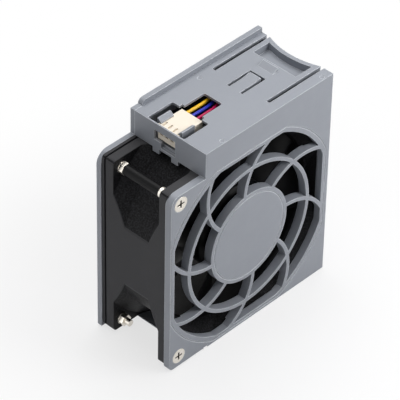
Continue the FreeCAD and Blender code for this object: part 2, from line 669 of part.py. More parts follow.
def fan_frame():
    """The frame with its bell-mouthed inlet, which only the corners have room for."""
    body = frame_body()
    frame_details(body)
    cone = doc.addObject("Part::Cone", "inlet_cone")
    bind(cone, "Radius1", "flare_rad")
    bind(cone, "Radius2", "bore_rad")
    bind(cone, "Height", "flare_deep")
    cone.Placement.Rotation = FreeCAD.Rotation(V(1, 0, 0), -90)
    place(cone, "fan_x", "y_fan", "fan_z")
    block = doc.addObject("Part::Box", "inlet_block")
    bind(block, "Length", "flare_flat*2")
    bind(block, "Width", "flare_deep")
    bind(block, "Height", "flare_flat*2")
    place(block, "fan_x - flare_flat", "y_fan", "fan_z - flare_flat")
    inlet = doc.addObject("Part::Common", "inlet")
    inlet.Base = cone
    inlet.Tool = block
    frame = doc.addObject("Part::Cut", "fan_frame")
    frame.Base = body
    frame.Tool = inlet
    return keep(frame, "fan_frame")


def motor_dish(body):
    """Turned dish for the circuit board, with the bearing tube in its middle."""
    sk = new_sketch(body, "XY")
    floor = "fan_depth - dish_floor"
    rim = "fan_depth - dish_floor - dish_deep"
    outline(sk, [("0", "fan_depth"), ("dish_rad", "fan_depth"), ("dish_rad", rim),
                 ("dish_rad - dish_wall", rim), ("dish_rad - dish_wall", floor), ("tube_rad", floor),
                 ("tube_rad", "tube_front"), ("tube_bore", "tube_front"),
                 ("tube_bore", "fan_depth - tube_end"), ("0", "fan_depth - tube_end")])
    turned(body, sk)


def motor_mount():
    """Dish, bearing tube and four struts; one strut is a channel for the lead."""
    body = fan_body("mount_body")
    motor_dish(body)
    sk = new_sketch(body, "XZ", "fan_depth - strut_thick")
    outline(sk, radial_box("dish_rad - dish_wall/2", "bore_rad + 1", "strut_wide/2"))
    strut = pad(body, sk, "strut_thick", back=True)
    around(body, [strut], "strut_count")
    sk = new_sketch(body, "XZ", "fan_depth - strut_thick")
    outline(sk, radial_box("dish_rad - dish_wall/2", "bore_rad + 1", "lead_wide/2 + lead_wall"))
    pad(body, sk, "strut_thick", back=True)
    sk = new_sketch(body, "XZ", "fan_depth - dish_floor - dish_deep")
    outline(sk, radial_box("dish_rad - dish_wall - 1", "bore_rad + 2", "lead_wide/2"))
    pocket(body, sk, "dish_floor + dish_deep - strut_thick + channel_deep")
    limit = doc.addObject("Part::Cylinder", "mount_limit")
    bind(limit, "Radius", "bore_rad")
    bind(limit, "Height", "fan_depth")
    limit.Placement.Rotation = FreeCAD.Rotation(V(1, 0, 0), -90)
    place(limit, "fan_x", "y_fan", "fan_z")
    mount = doc.addObject("Part::Common", "motor_mount")
    mount.Base = body
    mount.Tool = limit
    return keep(mount, "motor_mount")


# ---------------------------------------------------------------- rotor

def blade_section(body, at, front, long, turn, outer, inner):
    """One end of a blade: a thin crescent square to the radius."""
    sk = new_sketch(body, "YZ", at)
    lead = (front, "-(%s)" % turn)
    tail = ("%s + %s" % (front, long), turn)
    mixed_outline(sk, [lead, tail], {0: (outer, 1), 1: (inner, -1)})
    return sk


def impeller():
    """Cup-shaped hub with twisted blades trimmed to the tip circle."""
    body = fan_body("impeller_body")
    sk = new_sketch(body, "XY")
    back = "fan_depth - hub_back"
    outline(sk, [("bush_hole_rad", "hub_front"), ("hub_rad - hub_edge", "hub_front"),
                 ("hub_rad", "hub_front + hub_edge"), ("hub_rad", back), ("yoke_rad", back),
                 ("yoke_rad", "cup_floor"), ("bush_hole_rad", "cup_floor")])
    turned(body, sk)
    root = blade_section(body, "hub_rad - hub_skin/2 - 0.6", "root_front", "root_long", "root_turn",
                         "root_outer_bend", "root_inner_bend")
    tip = blade_section(body, "tip_rad + 0.5", "tip_front", "tip_long", "tip_turn",
                        "tip_outer_bend", "tip_inner_bend")
    blade = body.newObject("PartDesign::AdditiveLoft", "blade")
    blade.Profile = root
    blade.Sections = [tip]
    blade.Ruled = False
    body.Tip = blade
    around(body, [blade], "blade_count")
    return trim_impeller(body)


def trim_impeller(body):
    """Keep the blades inside the tip circle and out of the hub's cup."""
    limit = fan_body("impeller_limit")
    sk = new_sketch(limit, "XY")
    back = "fan_depth - hub_back"
    outline(sk, [("0", "hub_front"), ("tip_rad", "hub_front"), ("tip_rad", back), ("yoke_rad", back),
                 ("yoke_rad", "cup_floor"), ("0", "cup_floor")])
    turned(limit, sk)
    made = doc.addObject("Part::Common", "impeller")
    made.Base = body
    made.Tool = limit
    return keep(made, "impeller")


def rotor_pieces():
    """Steel yoke, magnet, bush, shaft, clip and preload spring."""
    end = "cup_floor + yoke_long"
    turned_piece("rotor_yoke", [
        ("bush_rad", "cup_floor"), ("yoke_rad", "cup_floor"), ("yoke_rad", end), ("magnet_rad", end),
        ("magnet_rad", "cup_floor + yoke_thick"), ("bush_rad", "cup_floor + yoke_thick")])
    start = "cup_floor + magnet_start"
    inner = "magnet_rad - magnet_thick"
    turned_piece("magnet_ring", [
        (inner, start), ("magnet_rad", start), ("magnet_rad", start + " + magnet_long"),
        (inner, start + " + magnet_long")])
    turned_piece("shaft_bush", [
        ("shaft_rad", "hub_front"), ("bush_hole_rad", "hub_front"), ("bush_hole_rad", "cup_floor"),
        ("bush_rad", "cup_floor"), ("bush_rad", "bush_back"), ("shaft_rad", "bush_back")])
    front_end = "front_bearing_at - spring_play"
    inner = "shaft_rad + spring_play"
    turned_piece("preload_spring", [
        (inner, "bush_back"), (inner + " + spring_thick", "bush_back"),
        (inner + " + 2*spring_thick", front_end), (inner + " + spring_thick", front_end)])
    shaft_and_clip()


def shaft_and_clip():
    """Shaft with a groove at its inner end and the clip that sits in it."""
    at = "rear_bearing_at + bearing_wide + clip_play"
    thick = "clip_thick"
    low = "shaft_rad - clip_groove"
    end = "fan_depth - shaft_end"
    turned_piece("rotor_shaft", [
        ("0", "hub_front + shaft_start"), ("shaft_rad", "hub_front + shaft_start"), ("shaft_rad", at),
        (low, at), (low, at + " + " + thick), ("shaft_rad", at + " + " + thick),
        ("shaft_rad", end), ("0", end)])
    body = fan_body("retaining_clip")
    sk = new_sketch(body, "XY")
    outline(sk, [(low, at), ("clip_rad", at), ("clip_rad", at + " + " + thick), (low, at + " + " + thick)])
    turned(body, sk, angle="300")
    keep(body, "retaining_clip")


def bearing(label, at):
    """Ball bearing with its shields set in between the two races."""
    inner = "shaft_rad + shaft_fit"
    low = inner + " + race_thick"
    high = "tube_bore - race_thick"
    front = at + " + shield_inset"
    back = at + " + bearing_wide - shield_inset"
    end = at + " + bearing_wide"
    turned_piece(label, [
        (inner, at), (low, at), (low, front), (high, front), (high, at), ("tube_bore", at),
        ("tube_bore", end), (high, end), (high, back), (low, back), (low, end), (inner, end)])


# ---------------------------------------------------------------- stator and board

def stator_core():
    """Laminated core: a ring with four T-shaped poles."""
    body = fan_body("stator_core")
    sk = new_sketch(body, "XZ", "stator_start")
    circle(sk, "0", "0", "tube_rad + core_ring")
    circle(sk, "0", "0", "tube_rad")
    pad(body, sk, "stator_long", back=True)
    sk = new_sketch(body, "XZ", "stator_start")
    rectangle(sk, "tube_rad + core_ring*0.6", "-pole_wide/2", "core_rad - shoe_thick*0.6", "pole_wide/2")
    pole = pad(body, sk, "stator_long", back=True)
    shoe = pole_shoe(body)
    around(body, [pole, shoe], "4")
    return keep(body, "stator_core")


def pole_shoe(body):
    """The curved face at a pole's outer end."""
    sk = new_sketch(body, "XZ", "stator_start")
    c = "cos(shoe_half_angle*1deg)"
    s = "sin(shoe_half_angle*1deg)"
    low = "(core_rad - shoe_thick)"
    points = [("core_rad*" + c, "-core_rad*" + s), ("core_rad*" + c, "core_rad*" + s),
              (low + "*" + c, low + "*" + s), (low + "*" + c, "-%s*%s" % (low, s))]
    mixed_outline(sk, points, {0: ("core_rad", -1), 2: (low, 1)})
    return pad(body, sk, "stator_long", back=True)


def insulator(label, at):
    """Moulded end piece between the core and its coils."""
    body = fan_body(label)
    sk = new_sketch(body, "XZ", at)
    circle(sk, "0", "0", "tube_rad + core_ring")
    circle(sk, "0", "0", "tube_rad")
    pad(body, sk, "insul_thick", back=True)
    sk = new_sketch(body, "XZ", at)
    rectangle(sk, "tube_rad + core_ring*0.6", "-pole_wide/2 - insul_side",
              "core_rad - shoe_thick - coil_gap", "pole_wide/2 + insul_side")
    arm = pad(body, sk, "insul_thick", back=True)
    around(body, [arm], "4")
    return keep(body, label)


def coil(number):
    """One winding round a pole."""
    body = fan_body("coil_%d" % number)
    body.Placement.Rotation = FreeCAD.Rotation(V(0, 1, 0), 90 * number)
    inner = "tube_rad + core_ring + coil_thick"
    sk = new_sketch(body, "YZ", inner)
    hole_y = "stator_start - insul_thick"
    back_y = "stator_start + stator_long + insul_thick"
    hole_z = "pole_wide/2 + insul_side"
    rectangle(sk, hole_y + " - coil_thick", "-(%s + coil_thick)" % hole_z,
              back_y + " + coil_thick", hole_z + " + coil_thick")
    rectangle(sk, hole_y, "-(%s)" % hole_z, back_y, hole_z)
    outer = "sqrt((core_rad - shoe_thick)^2 - (%s + coil_thick)^2) - coil_gap" % hole_z
    pad(body, sk, "%s - (%s)" % (outer, inner))
    return keep(body, "coil_%d" % number)


def board():
    """Round circuit board in the dish, with its driver and sensor chips."""
    turned_piece("circuit_board", [
        ("tube_rad + board_gap", "board_at"), ("board_rad", "board_at"),
        ("board_rad", "board_at + board_thick"), ("tube_rad + board_gap", "board_at + board_thick")])
    front = "y_fan + board_at - chip_thick"
    box_piece("driver_chip", ("fan_x - chip_long/2", front, "fan_z - chip_at - chip_wide/2"),
              ("chip_long", "chip_thick", "chip_wide"))
    box_piece("hall_sensor", ("fan_x + chip_at", front, "fan_z - sensor_size/2"),
              ("sensor_size", "chip_thick", "sensor_size"))


# ---------------------------------------------------------------- fasteners

def corner_body(label, side, level, x_sign="-"):
    """A body on one of the fan's screw lines, its origin at a depth."""
    body = new_body(label)
    place(body, "fan_x %s screw_half" % x_sign, level, "fan_z %s screw_half" % side)
    return body


def screw(label, side, level, run, stick, front):
    """Countersunk cross-recess screw, its head flush with a cover."""
    body = corner_body(label, side, level)
    way = "" if front else "-1*"
    sk = new_sketch(body, "XY")
    end = "%s + %s" % (run, stick)
    sink = "head_rad - screw_rad"
    outline(sk, [("0", "0"), ("head_rad", "0"), ("screw_rad", way + "(%s)" % sink),
                 ("screw_rad", way + "(%s)" % end), ("0", way + "(%s)" % end)])
    turned(body, sk)
    sk = new_sketch(body, "XZ")
    outline(sk, cross_points())
    pocket(body, sk, "cross_deep", back=not front)
    return keep(body, label)


def cross_points():
    """Outline of the cross-shaped driver recess."""
    a = "cross_long/2"
    b = "cross_wide/2"
    signs = ((a, b, 1, 1), (b, b, 1, 1), (b, a, 1, 1), (b, a, -1, 1), (b, b, -1, 1), (a, b, -1, 1),
             (a, b, -1, -1), (b, b, -1, -1), (b, a, -1, -1), (b, a, 1, -1), (b, b, 1, -1), (a, b, 1, -1))
    return [("%d*%s" % (sx, x), "%d*%s" % (sz, z)) for x, z, sx, sz in signs]


def nut(label, side, level, thick):
    """Hexagon nut against a flange's inner face."""
    body = corner_body(label, side, level)
    sk = new_sketch(body, "XZ")
    reach = "nut_flats/sqrt(3)"
    outline(sk, [("%s*cos(%ddeg)" % (reach, a), "%s*sin(%ddeg)" % (reach, a)) for a in range(0, 360, 60)])
    circle(sk, "0", "0", "screw_rad")
    pad(body, sk, thick, back=True)
    return keep(body, label)


def ring(label, side, level, inner, outer, long):
    """A plain ring or sleeve on a screw line."""
    body = corner_body(label, side, level)
    sk = new_sketch(body, "XZ")
    circle(sk, "0", "0", outer)
    circle(sk, "0", "0", inner)
    pad(body, sk, long, back=True)
    return keep(body, label)


def fasteners():
    """Screws, nuts and washers at the left-hand corners, and the sleeve at the upper one."""
    flange_in = "y_fan_end - rear_flange"
    for word, side in (("upper", "+"), ("lower", "-")):
        screw("front_screw_" + word, side, "y_front", "front_wall + front_flange + front_nut_thick",
              "screw_stick", True)
        screw("rear_screw_" + word, side, "y_back", "rear_wall + rear_flange + washer_thick + nut_thick",
              "rear_stick", False)
        nut("front_nut_" + word, side, "y_fan + front_flange", "front_nut_thick")
        nut("rear_nut_" + word, side, flange_in + " - washer_thick - nut_thick", "nut_thick")
        ring("rear_washer_" + word, side, flange_in + " - washer_thick", "screw_rad", "washer_rad",
             "washer_thick")
    start = "y_fan + front_flange + front_nut_thick"
    end = flange_in + " - washer_thick - nut_thick"
    ring("corner_sleeve", "+", start, "screw_rad + sleeve_gap", "screw_rad + sleeve_gap + sleeve_wall",
         "%s - (%s)" % (end, start))


# ---------------------------------------------------------------- plug, cradle and wires

def cradle():
    """Stepped shelf under the plug, with rails and two arms hooked over the plug."""
    body = new_body("plug_cradle")
    start = "x_box + box_wall"
    step = "x_box + cradle_step"
    half = "plug_half + cradle_gap + cradle_side"
    sk = new_sketch(body, "XZ", "plug_line - (%s)" % half)
    end = "x_box + box_wall + cradle_long"
    outline(sk, [(start, "z_fan"), (end, "z_fan"), (end, "z_fan + cradle_floor"),
                 (step, "z_fan + cradle_floor"), (step, "z_fan + mouth_low"), (start, "z_fan + mouth_low")])
    pad(body, sk, "2*(%s)" % half, back=True)
    for sign in ("+", "-"):
        sk = new_sketch(body, "XY", "z_fan + cradle_floor")
        near = "plug_line %s (plug_half - rail_wide/2) - rail_wide/2" % sign
        rectangle(sk, "plug_x + 0.4", near, end, near + " + rail_wide")
        pad(body, sk, "plug_z - z_fan - cradle_floor")
        cradle_arm(body, sign)
    return keep(body, "plug_cradle")


def cradle_arm(body, sign):
    """One arm beside the plug, its hook sloping down over the plug's top."""
    sk = new_sketch(body, "YZ", "plug_x + arm_start")
    base = "z_fan + cradle_floor"
    top = "z_top - plug_drop + cradle_gap"
    near = "plug_half + cradle_gap"
    far = near + " + cradle_side"
    ridge = "z_top + hook_rise"
    points = [(near, base), (far, base), (far, ridge), (far + " - hook_thick", ridge),
              (near + " - hook_over", top + " + hook_thick"), (near + " - hook_over", top), (near, top)]
    outline(sk, [("plug_line %s (%s)" % (sign, y), z) for y, z in points])
    pad(body, sk, "arm_long")


def pin_line(number):
    """A pin's place across the plug; the first pin is at the front."""
    return "plug_line + pin_off + pin_pitch*(%d - 1.5)" % number


def plug():
    """Four-way plug housing with square mating holes and taller cavities for the wires."""
    body = new_body("plug_housing")
    sk = new_sketch(body, "YZ", "plug_x")
    rectangle(sk, "plug_line - plug_half", "plug_z", "plug_line + plug_half", "plug_z + plug_high")
    pad(body, sk, "plug_long")
    sk = new_sketch(body, "YZ", "plug_x")
    for number in range(4):
        y = pin_line(number)
        rectangle(sk, y + " - pin_hole/2", "pin_z - pin_hole/2", y + " + pin_hole/2", "pin_z + pin_hole/2")
    pocket(body, sk, "plug_long - wire_sink", back=True)
    sk = new_sketch(body, "YZ", "plug_x + plug_long")
    for number in range(4):
        y = pin_line(number)
        rectangle(sk, y + " - pin_hole/2", "pin_z - pin_hole/2",
                  y + " + pin_hole/2", "wire_z + wire_rad + pin_wall")
    pocket(body, sk, "wire_sink + tail_long")
    sk = new_sketch(body, "XY", "plug_z + plug_high")
    for number in range(4):
        y = pin_line(number)
        rectangle(sk, "plug_x + 0.5", y + " - plug_slot_wide/2", "plug_x + 0.5 + plug_slot_long",
                  y + " + plug_slot_wide/2")
    pocket(body, sk, "plug_slot_wide")
    return keep(body, "plug_housing")


def contact(number):
    """One contact in the plug: a square tube for the pin, and a tail up to the wire's end."""
    body = new_body("contact_%d" % (number + 1))
    y = pin_line(number)
    for half in ("pin_hole/2 - pin_wall/2", "pin_hole/4"):
        sk = new_sketch(body, "YZ", "plug_x + 1")
        rectangle(sk, "%s - (%s)" % (y, half), "pin_z - (%s)" % half,
                  "%s + (%s)" % (y, half), "pin_z + (%s)" % half)
        if half == "pin_hole/4":
            pocket(body, sk, "plug_long*0.6", back=True)
        else:
            pad(body, sk, "plug_long - wire_sink - 1")
    sk = new_sketch(body, "YZ", "plug_x + plug_long - wire_sink")
    rectangle(sk, y + " - pin_hole/4", "pin_z", y + " + pin_hole/4", "wire_z + wire_rad")
    pad(body, sk, "tail_long", back=True)
    return keep(body, "contact_%d" % (number + 1))


def tube_run(start, end):
    """One straight stretch of a wire."""
    return Part.makeCylinder(value("wire_rad"), (end - start).Length, start, end - start)


def tube_bend(start, corner, end, radius):
    """One bend: the wire's section turned about the bend's centre."""
    into = V(corner - start).normalize()
    out = V(end - corner).normalize()
    turn_axis = into.cross(out).normalize()
    centre = start + turn_axis.cross(into) * radius
    section = Part.Face(Part.Wire(Part.Circle(start, into, value("wire_rad")).toShape()))
    return section.revolve(centre, turn_axis, math.degrees(into.getAngle(out)))


def rounded_tube(points):
    """Straight runs joined by tangent bends; a point in line with its neighbours has none."""
    pieces = []
    start = points[0]
    radii = []
    length = 0.0
    for i in range(1, len(points) - 1):
        into = points[i] - points[i - 1]
        out = points[i + 1] - points[i]
        half = into.getAngle(out) / 2
        if half < 1e-4:
            continue
        cut = 0.45 * min(into.Length, out.Length)
        radii.append(cut / math.tan(half))
        a = points[i] - V(into).normalize() * cut
        b = points[i] + V(out).normalize() * cut
        pieces.append(tube_run(start, a))
        pieces.append(tube_bend(a, points[i], b, radii[-1]))
        length += (a - start).Length + 2 * half * radii[-1]
        start = b
    pieces.append(tube_run(start, points[-1]))
    length += (points[-1] - start).Length
    return pieces[0].multiFuse(pieces[1:]), radii, length


def wire_points(number):
    """A wire's route: out of the plug, back over the rear flange and down along the strut."""
    angle = math.radians(value("lead_angle"))
    up = V(math.cos(angle), 0, math.sin(angle))
    aside = V(math.sin(angle), 0, -math.cos(angle))
    pitch = 2 * value("wire_rad") + value("wire_space")
    shift = aside * (pitch * (1.5 - number))
    y_back = value("y_fan_end - strut_thick + wire_rad + wire_space/2")
    axis = V(value("fan_x"), y_back, value("fan_z"))
    z = value("wire_z")
    y = value(pin_line(number))
    under = 3 - number
    low = z - value("wire_ease") - value("wire_drop") * under
    start = V(value("plug_x + plug_long - wire_sink"), y, z)
    out = V(value("plug_x + plug_long + wire_out"), y, z)
    turn = V(value("x_left + wire_turn_at") + value("wire_step") * under, y, low)
    radii = ("wire_top_rad", "wire_land_rad", "board_rad + 0.1")
    return [start, out, turn] + [axis + up * value(radius) + shift for radius in radii]


def wire(label, number):
    """One insulated wire, made whole along its route."""
    solid, radii, length = rounded_tube(wire_points(number))
    obj = doc.addObject("Part::Feature", label)
    obj.Shape = solid
    obj.Placement = FreeCAD.Placement()
    section = math.pi * value("wire_rad") ** 2
    print(label, "radii", [round(r, 1) for r in radii], "volume / section x length",
          round(solid.Volume / (section * length), 4))
    return keep(obj, label)


# ---------------------------------------------------------------- latch and snap finger

def grip_outline(sk, near, rad, half):
    """The latch's end: straight sides and a hollow right-hand edge."""
    centre = "x_grip + grip_bend"
    end = "%s - sqrt((%s)^2 - (%s)^2)" % (centre, rad, half)
    points = [(near, "-(%s)" % half), (end, "-(%s)" % half), (end, half), (near, half)]
    mixed_outline(sk, points, {1: (rad, 1)})


def release_latch():
    """Flexible tongue with a catch wedge, a finger pocket and a hollow grip wall."""
    body = new_body("release_latch")
    half = "latch_wide/2"
    sk = new_sketch(body, "XY", "z_top")
    end = "x_latch + pocket_start"
    gap = "x_finger + finger_long + finger_end_gap"
    outline(sk, [("x_latch", "-" + half), (end, "-" + half), (end, half), ("x_latch", half),
                 ("x_latch", "hole_half"), (gap, "hole_half"), (gap, "-hole_half"),
                 ("x_latch", "-hole_half")])
    pad(body, sk, "latch_thick", back=True)
    sk = new_sketch(body, "XY", "z_top")
    grip_outline(sk, end + " - pocket_floor", "grip_bend", half)
    pad(body, sk, "pocket_deep + pocket_floor", back=True)
    latch_grip(body, half)
    sk = new_sketch(body, "XY", "z_top")
    grip_outline(sk, end, "grip_bend + grip_wall", half + " - pocket_rib")
    pocket(body, sk, "pocket_deep")
    sk = new_sketch(body, "XZ")
    start = "x_latch + catch_start"
    outline(sk, [(start, "z_top"), (start + " + catch_long", "z_top"),
                 (start + " + catch_long", "z_top + catch_high")])
    pad(body, sk, "catch_wide", midplane=True)
    return keep(body, "release_latch")


def latch_grip(body, half):
    """The hollow wall that hangs down at the latch's end."""
    sk = new_sketch(body, "XY", "z_top")
    centre = "x_grip + grip_bend"
    outer = "%s - sqrt(grip_bend^2 - (%s)^2)" % (centre, half)
    inner = "%s - sqrt((grip_bend + grip_wall)^2 - (%s)^2)" % (centre, half)
    points = [(inner, "-" + half), (outer, "-" + half), (outer, half), (inner, half)]
    mixed_outline(sk, points, {1: ("grip_bend", 1), 3: ("grip_bend + grip_wall", -1)})
    pad(body, sk, "grip_high", back=True)


def snap_finger():
    """Small springy finger in its own gap, with a raised bump at its tip."""
    body = new_body("snap_finger")
    sk = new_sketch(body, "XZ")
    end = "x_finger + finger_long"
    low = "z_top - finger_thick"
    outline(sk, [("x_finger", low), (end, low), (end, "z_top + finger_bump"),
                 (end + " - bump_long/4", "z_top + finger_bump"), (end + " - bump_long", "z_top"),
                 ("x_finger", "z_top")])
    pad(body, sk, "finger_wide", midplane=True)
    return keep(body, "snap_finger")


# ---------------------------------------------------------------- build

def build():
    """Make every sub-part."""
    front_plate()
    front_guard()
    cable_box()
    walls()
    rear_cover()
    fan_frame()
    motor_mount()
    impeller()
    rotor_pieces()
    bearing("front_bearing", "front_bearing_at")
    bearing("rear_bearing", "rear_bearing_at")
    stator_core()
    insulator("insulator_front", "stator_start - insul_thick")
    insulator("insulator_rear", "stator_start + stator_long")
    for number in range(4):
        coil(number)
    board()
    fasteners()
    cradle()
    plug()
    for number in range(4):
        contact(number)
    for number, colour in enumerate(("black", "red", "blue", "yellow")):
        wire("wire_" + colour, number)
    release_latch()
    snap_finger()


def check_and_write():
    """Check every object, then write each sub-part to its own file."""
    doc.recompute()
    for obj in doc.Objects:
        if any(state in ("Invalid", "Error") for state in obj.State):
            raise RuntimeError(obj.Name + " failed: " + ",".join(obj.State))
    os.makedirs("parts", exist_ok=True)
    for obj in NODES:
        shape = obj.Shape
        if shape.isNull() or not shape.isValid() or shape.Volume <= 0:
            raise RuntimeError(obj.Label + ": no valid solid")
        if len(shape.Solids) != 1:
            print("NOTE", obj.Label, "has", len(shape.Solids), "solids")
        shape.exportStep("parts/" + obj.Label + ".step")


build()
check_and_write()
print("sub-parts:", len(NODES))
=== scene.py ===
# %% [markdown]
# # A server fan module
# This lesson dresses a finished CAD model of a hot-swap fan module: an 80 mm fan
# between two grey covers, with a cable box on top. The CAD model fixes every size
# and every joint, so the work here is light, materials and the small finish marks
# that moulding and assembly leave. The frame is loaded first, because each place
# in the scene is read from it.

# %% load the frame
import math

import bmesh
import bpy
from mathutils import Matrix, Vector


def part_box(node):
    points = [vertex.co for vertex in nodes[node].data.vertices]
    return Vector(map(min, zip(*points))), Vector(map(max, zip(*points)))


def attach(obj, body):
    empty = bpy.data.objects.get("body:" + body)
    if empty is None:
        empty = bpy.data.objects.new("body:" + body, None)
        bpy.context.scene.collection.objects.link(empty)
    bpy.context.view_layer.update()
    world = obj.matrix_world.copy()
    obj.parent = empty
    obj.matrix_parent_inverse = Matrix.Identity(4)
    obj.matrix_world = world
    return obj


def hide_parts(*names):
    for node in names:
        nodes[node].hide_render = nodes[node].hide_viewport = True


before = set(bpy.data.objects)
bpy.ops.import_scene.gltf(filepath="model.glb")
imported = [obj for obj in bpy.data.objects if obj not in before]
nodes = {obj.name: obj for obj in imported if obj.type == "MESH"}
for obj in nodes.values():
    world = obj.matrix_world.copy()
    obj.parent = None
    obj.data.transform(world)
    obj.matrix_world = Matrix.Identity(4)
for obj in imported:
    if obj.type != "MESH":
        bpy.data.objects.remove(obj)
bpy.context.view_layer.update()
print("pieces in the frame:", len(nodes))
MM = 0.001


# %% [markdown]
# ## The camera
# A product is usually shown with a long lens from well back, so that its edges stay
# nearly parallel. The camera looks down on the left front corner. Its axes are
# worked out from a turn, a tilt and a slight roll, and its place is measured from a
# point on the front cover. The lens is 264.5 mm on a 36 mm sensor.

# %% camera
def studio_camera(turn, tilt, roll, aim, aside, above, away, lens):
    """A camera at a turn and tilt (degrees) round the point it is measured from."""
    a, e, r = math.radians(turn), math.radians(tilt), math.radians(roll)
    look = Vector((math.sin(a) * math.cos(e), math.cos(a) * math.cos(e), -math.sin(e)))
    right = Vector((math.cos(a), -math.sin(a), 0))
    up = right.cross(look)
    side = right * math.cos(r) + up * math.sin(r)
    head = up * math.cos(r) - right * math.sin(r)
    place = aim + side * aside + head * above - look * away
    data = bpy.data.cameras.new("studio_camera")
    data.lens, data.sensor_width = lens, 36.0
    data.clip_start, data.clip_end = 0.05, 20.0
    camera = bpy.data.objects.new("studio_camera", data)
    bpy.context.scene.collection.objects.link(camera)
    camera.matrix_world = Matrix((
        (side.x, head.x, -look.x, place.x), (side.y, head.y, -look.y, place.y),
        (side.z, head.z, -look.z, place.z), (0, 0, 0, 1)))
    bpy.context.scene.camera = camera
    return camera


COVER_POINT = Vector((-1.15, -18.5, 50.0)) * MM
camera = studio_camera(turn=46.65, tilt=39.91, roll=1.178, aim=COVER_POINT,
                       aside=-17.55 * MM, above=6.09 * MM, away=1.053, lens=264.5)
print("camera is", round(camera.location.length, 3), "m from the origin")


# %% [markdown]
# ## The lead wires
# Four thin stranded wires in PVC run from the plug, bend towards the back, pass over
# the fan's rear flange and go down a channel in one strut to the motor's board. A
# wire is a curve with a round bevel: few control points and a smooth NURBS line
# give the lazy bend of real stranded wire. The ends follow the CAD route, the middle
# is let down a little, and the curves take the place of the CAD solids.
# First come the places that the wires pass: the plug's bores, the bend behind the
# window and the three reaches along the strut, measured from the fan's axle.

# %% wire places
WIRE_ORDER = ("black", "red", "blue", "yellow")
WIRE_ACROSS = 1.3 * MM
PLUG_PITCH = 2.54 * MM
PLUG_ASIDE = -0.45 * MM          # the bores lie a little in front of the plug's middle
BORE_DOWN = 1.3 * MM             # a bore's middle below the plug's top
BORE_DEEP, BORE_OUT = 2.3 * MM, 2.0 * MM
BEND_X, BEND_STEP = 2.35 * MM, 1.0 * MM
BEND_LEAN = {"black": 0.0, "red": 1.4 * MM, "blue": 1.0 * MM, "yellow": 0.0}
BEND_SAG = {"black": 3.6 * MM, "red": 1.3 * MM, "blue": 1.5 * MM, "yellow": 0.3 * MM}
STRUT_SLOPE = math.radians(70)
LANE_PITCH = 1.54 * MM
LANE_DEEP = 14.17 * MM           # how far behind the middle the channel runs
FLANGE_REACH, FLANGE_LIFT = 45.5 * MM, 0.6 * MM
STRUT_REACH, BOARD_REACH = 36 * MM, 16 * MM
plug_low, plug_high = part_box("plug_housing")
bore_low, bore_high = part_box("magnet_ring")
axle_x, axle_z = (bore_low.x + bore_high.x) / 2, (bore_low.z + bore_high.z) / 2
print("axle at", round(axle_x / MM, 2), round(axle_z / MM, 2), "mm")


# %% [markdown]
# A wire could also be a swept mesh, but a curve stays easy to change: its bevel is
# the wire's radius, and its control points are the bends. A NURBS line of order 3
# runs close to its points and still has no kink, and its ends lie on the end points.

# %% wire curves
def wire_route(number):
    """Out of the plug, a turn to the back, over the rear flange and down the strut."""
    colour = WIRE_ORDER[number]
    last = len(WIRE_ORDER) - 1
    off_middle = number - last / 2
    y = (plug_low.y + plug_high.y) / 2 + PLUG_ASIDE + off_middle * PLUG_PITCH
    z = plug_high.z - BORE_DOWN
    bend = Vector((BEND_X + (last - number) * BEND_STEP, y + BEND_LEAN[colour],
                   z - BEND_SAG[colour]))
    out = Vector((math.cos(STRUT_SLOPE), 0, math.sin(STRUT_SLOPE)))
    beside = Vector((math.sin(STRUT_SLOPE), 0, -math.cos(STRUT_SLOPE)))
    lane = Vector((axle_x, LANE_DEEP, axle_z)) - beside * LANE_PITCH * off_middle
    return [Vector((plug_high.x - BORE_DEEP, y, z)), Vector((plug_high.x + BORE_OUT, y, z)),
            bend, lane + out * FLANGE_REACH - Vector((0, FLANGE_LIFT, 0)),
            lane + out * STRUT_REACH, lane + out * BOARD_REACH]


def wire(name, points):
    """A smooth round wire through a few given control points."""
    data = bpy.data.curves.new(name, "CURVE")
    data.dimensions = "3D"
    data.bevel_depth, data.bevel_resolution = WIRE_ACROSS / 2, 5
    data.resolution_u, data.use_fill_caps = 24, True
    line = data.splines.new("NURBS")
    line.points.add(len(points) - 1)
    for spot, point in zip(line.points, points):
        spot.co = (*point, 1.0)
    line.order_u, line.use_endpoint_u = 3, True
    piece = bpy.data.objects.new(name, data)
    bpy.context.scene.collection.objects.link(piece)
    return piece


wires = {}
for number, colour in enumerate(WIRE_ORDER):
    wires[colour] = wire("lead_" + colour, wire_route(number))
print("wires:", ", ".join(wires))


# %% [markdown]
# ## Node groups
# The same effects return on most surfaces, so each is built once as a shader node
# group. A group here gives only masks and heights; the shader stays in the
# material. `new_group` makes a group with named sockets, `add` makes any node and
# links it, and `maths` and `object_place` shorten two nodes that come up often.

# %% group helpers
def new_group(name, inputs, outputs):
    """An empty shader node group with float inputs and the outputs asked for."""
    group = bpy.data.node_groups.new(name, "ShaderNodeTree")
    for label, start in inputs:
        socket = group.interface.new_socket(label, in_out="INPUT",
                                            socket_type="NodeSocketFloat")
        socket.default_value = start
    for label, kind in outputs:
        group.interface.new_socket(label, in_out="OUTPUT", socket_type=kind)
    return group, group.nodes.new("NodeGroupInput"), group.nodes.new("NodeGroupOutput")


def add(tree, kind, settings=None, **sockets):
    """One node with its settings, and its sockets set or linked by name or as slot0."""
    node = tree.nodes.new(kind)
    for key, what in (settings or {}).items():
        setattr(node, key, what)
    for label, what in sockets.items():
        key = label.replace("_", " ")
        key = int(key[4:]) if key.startswith("slot") else key
        if isinstance(what, bpy.types.NodeSocket):
            tree.links.new(what, node.inputs[key])
        else:
            node.inputs[key].default_value = what
    return node


def maths(tree, how, one, two=0.0, three=0.0, clamp=False):
    """A Math node's result."""
    node = add(tree, "ShaderNodeMath", {"operation": how, "use_clamp": clamp},
               slot0=one, slot1=two, slot2=three)
    return node.outputs[0]


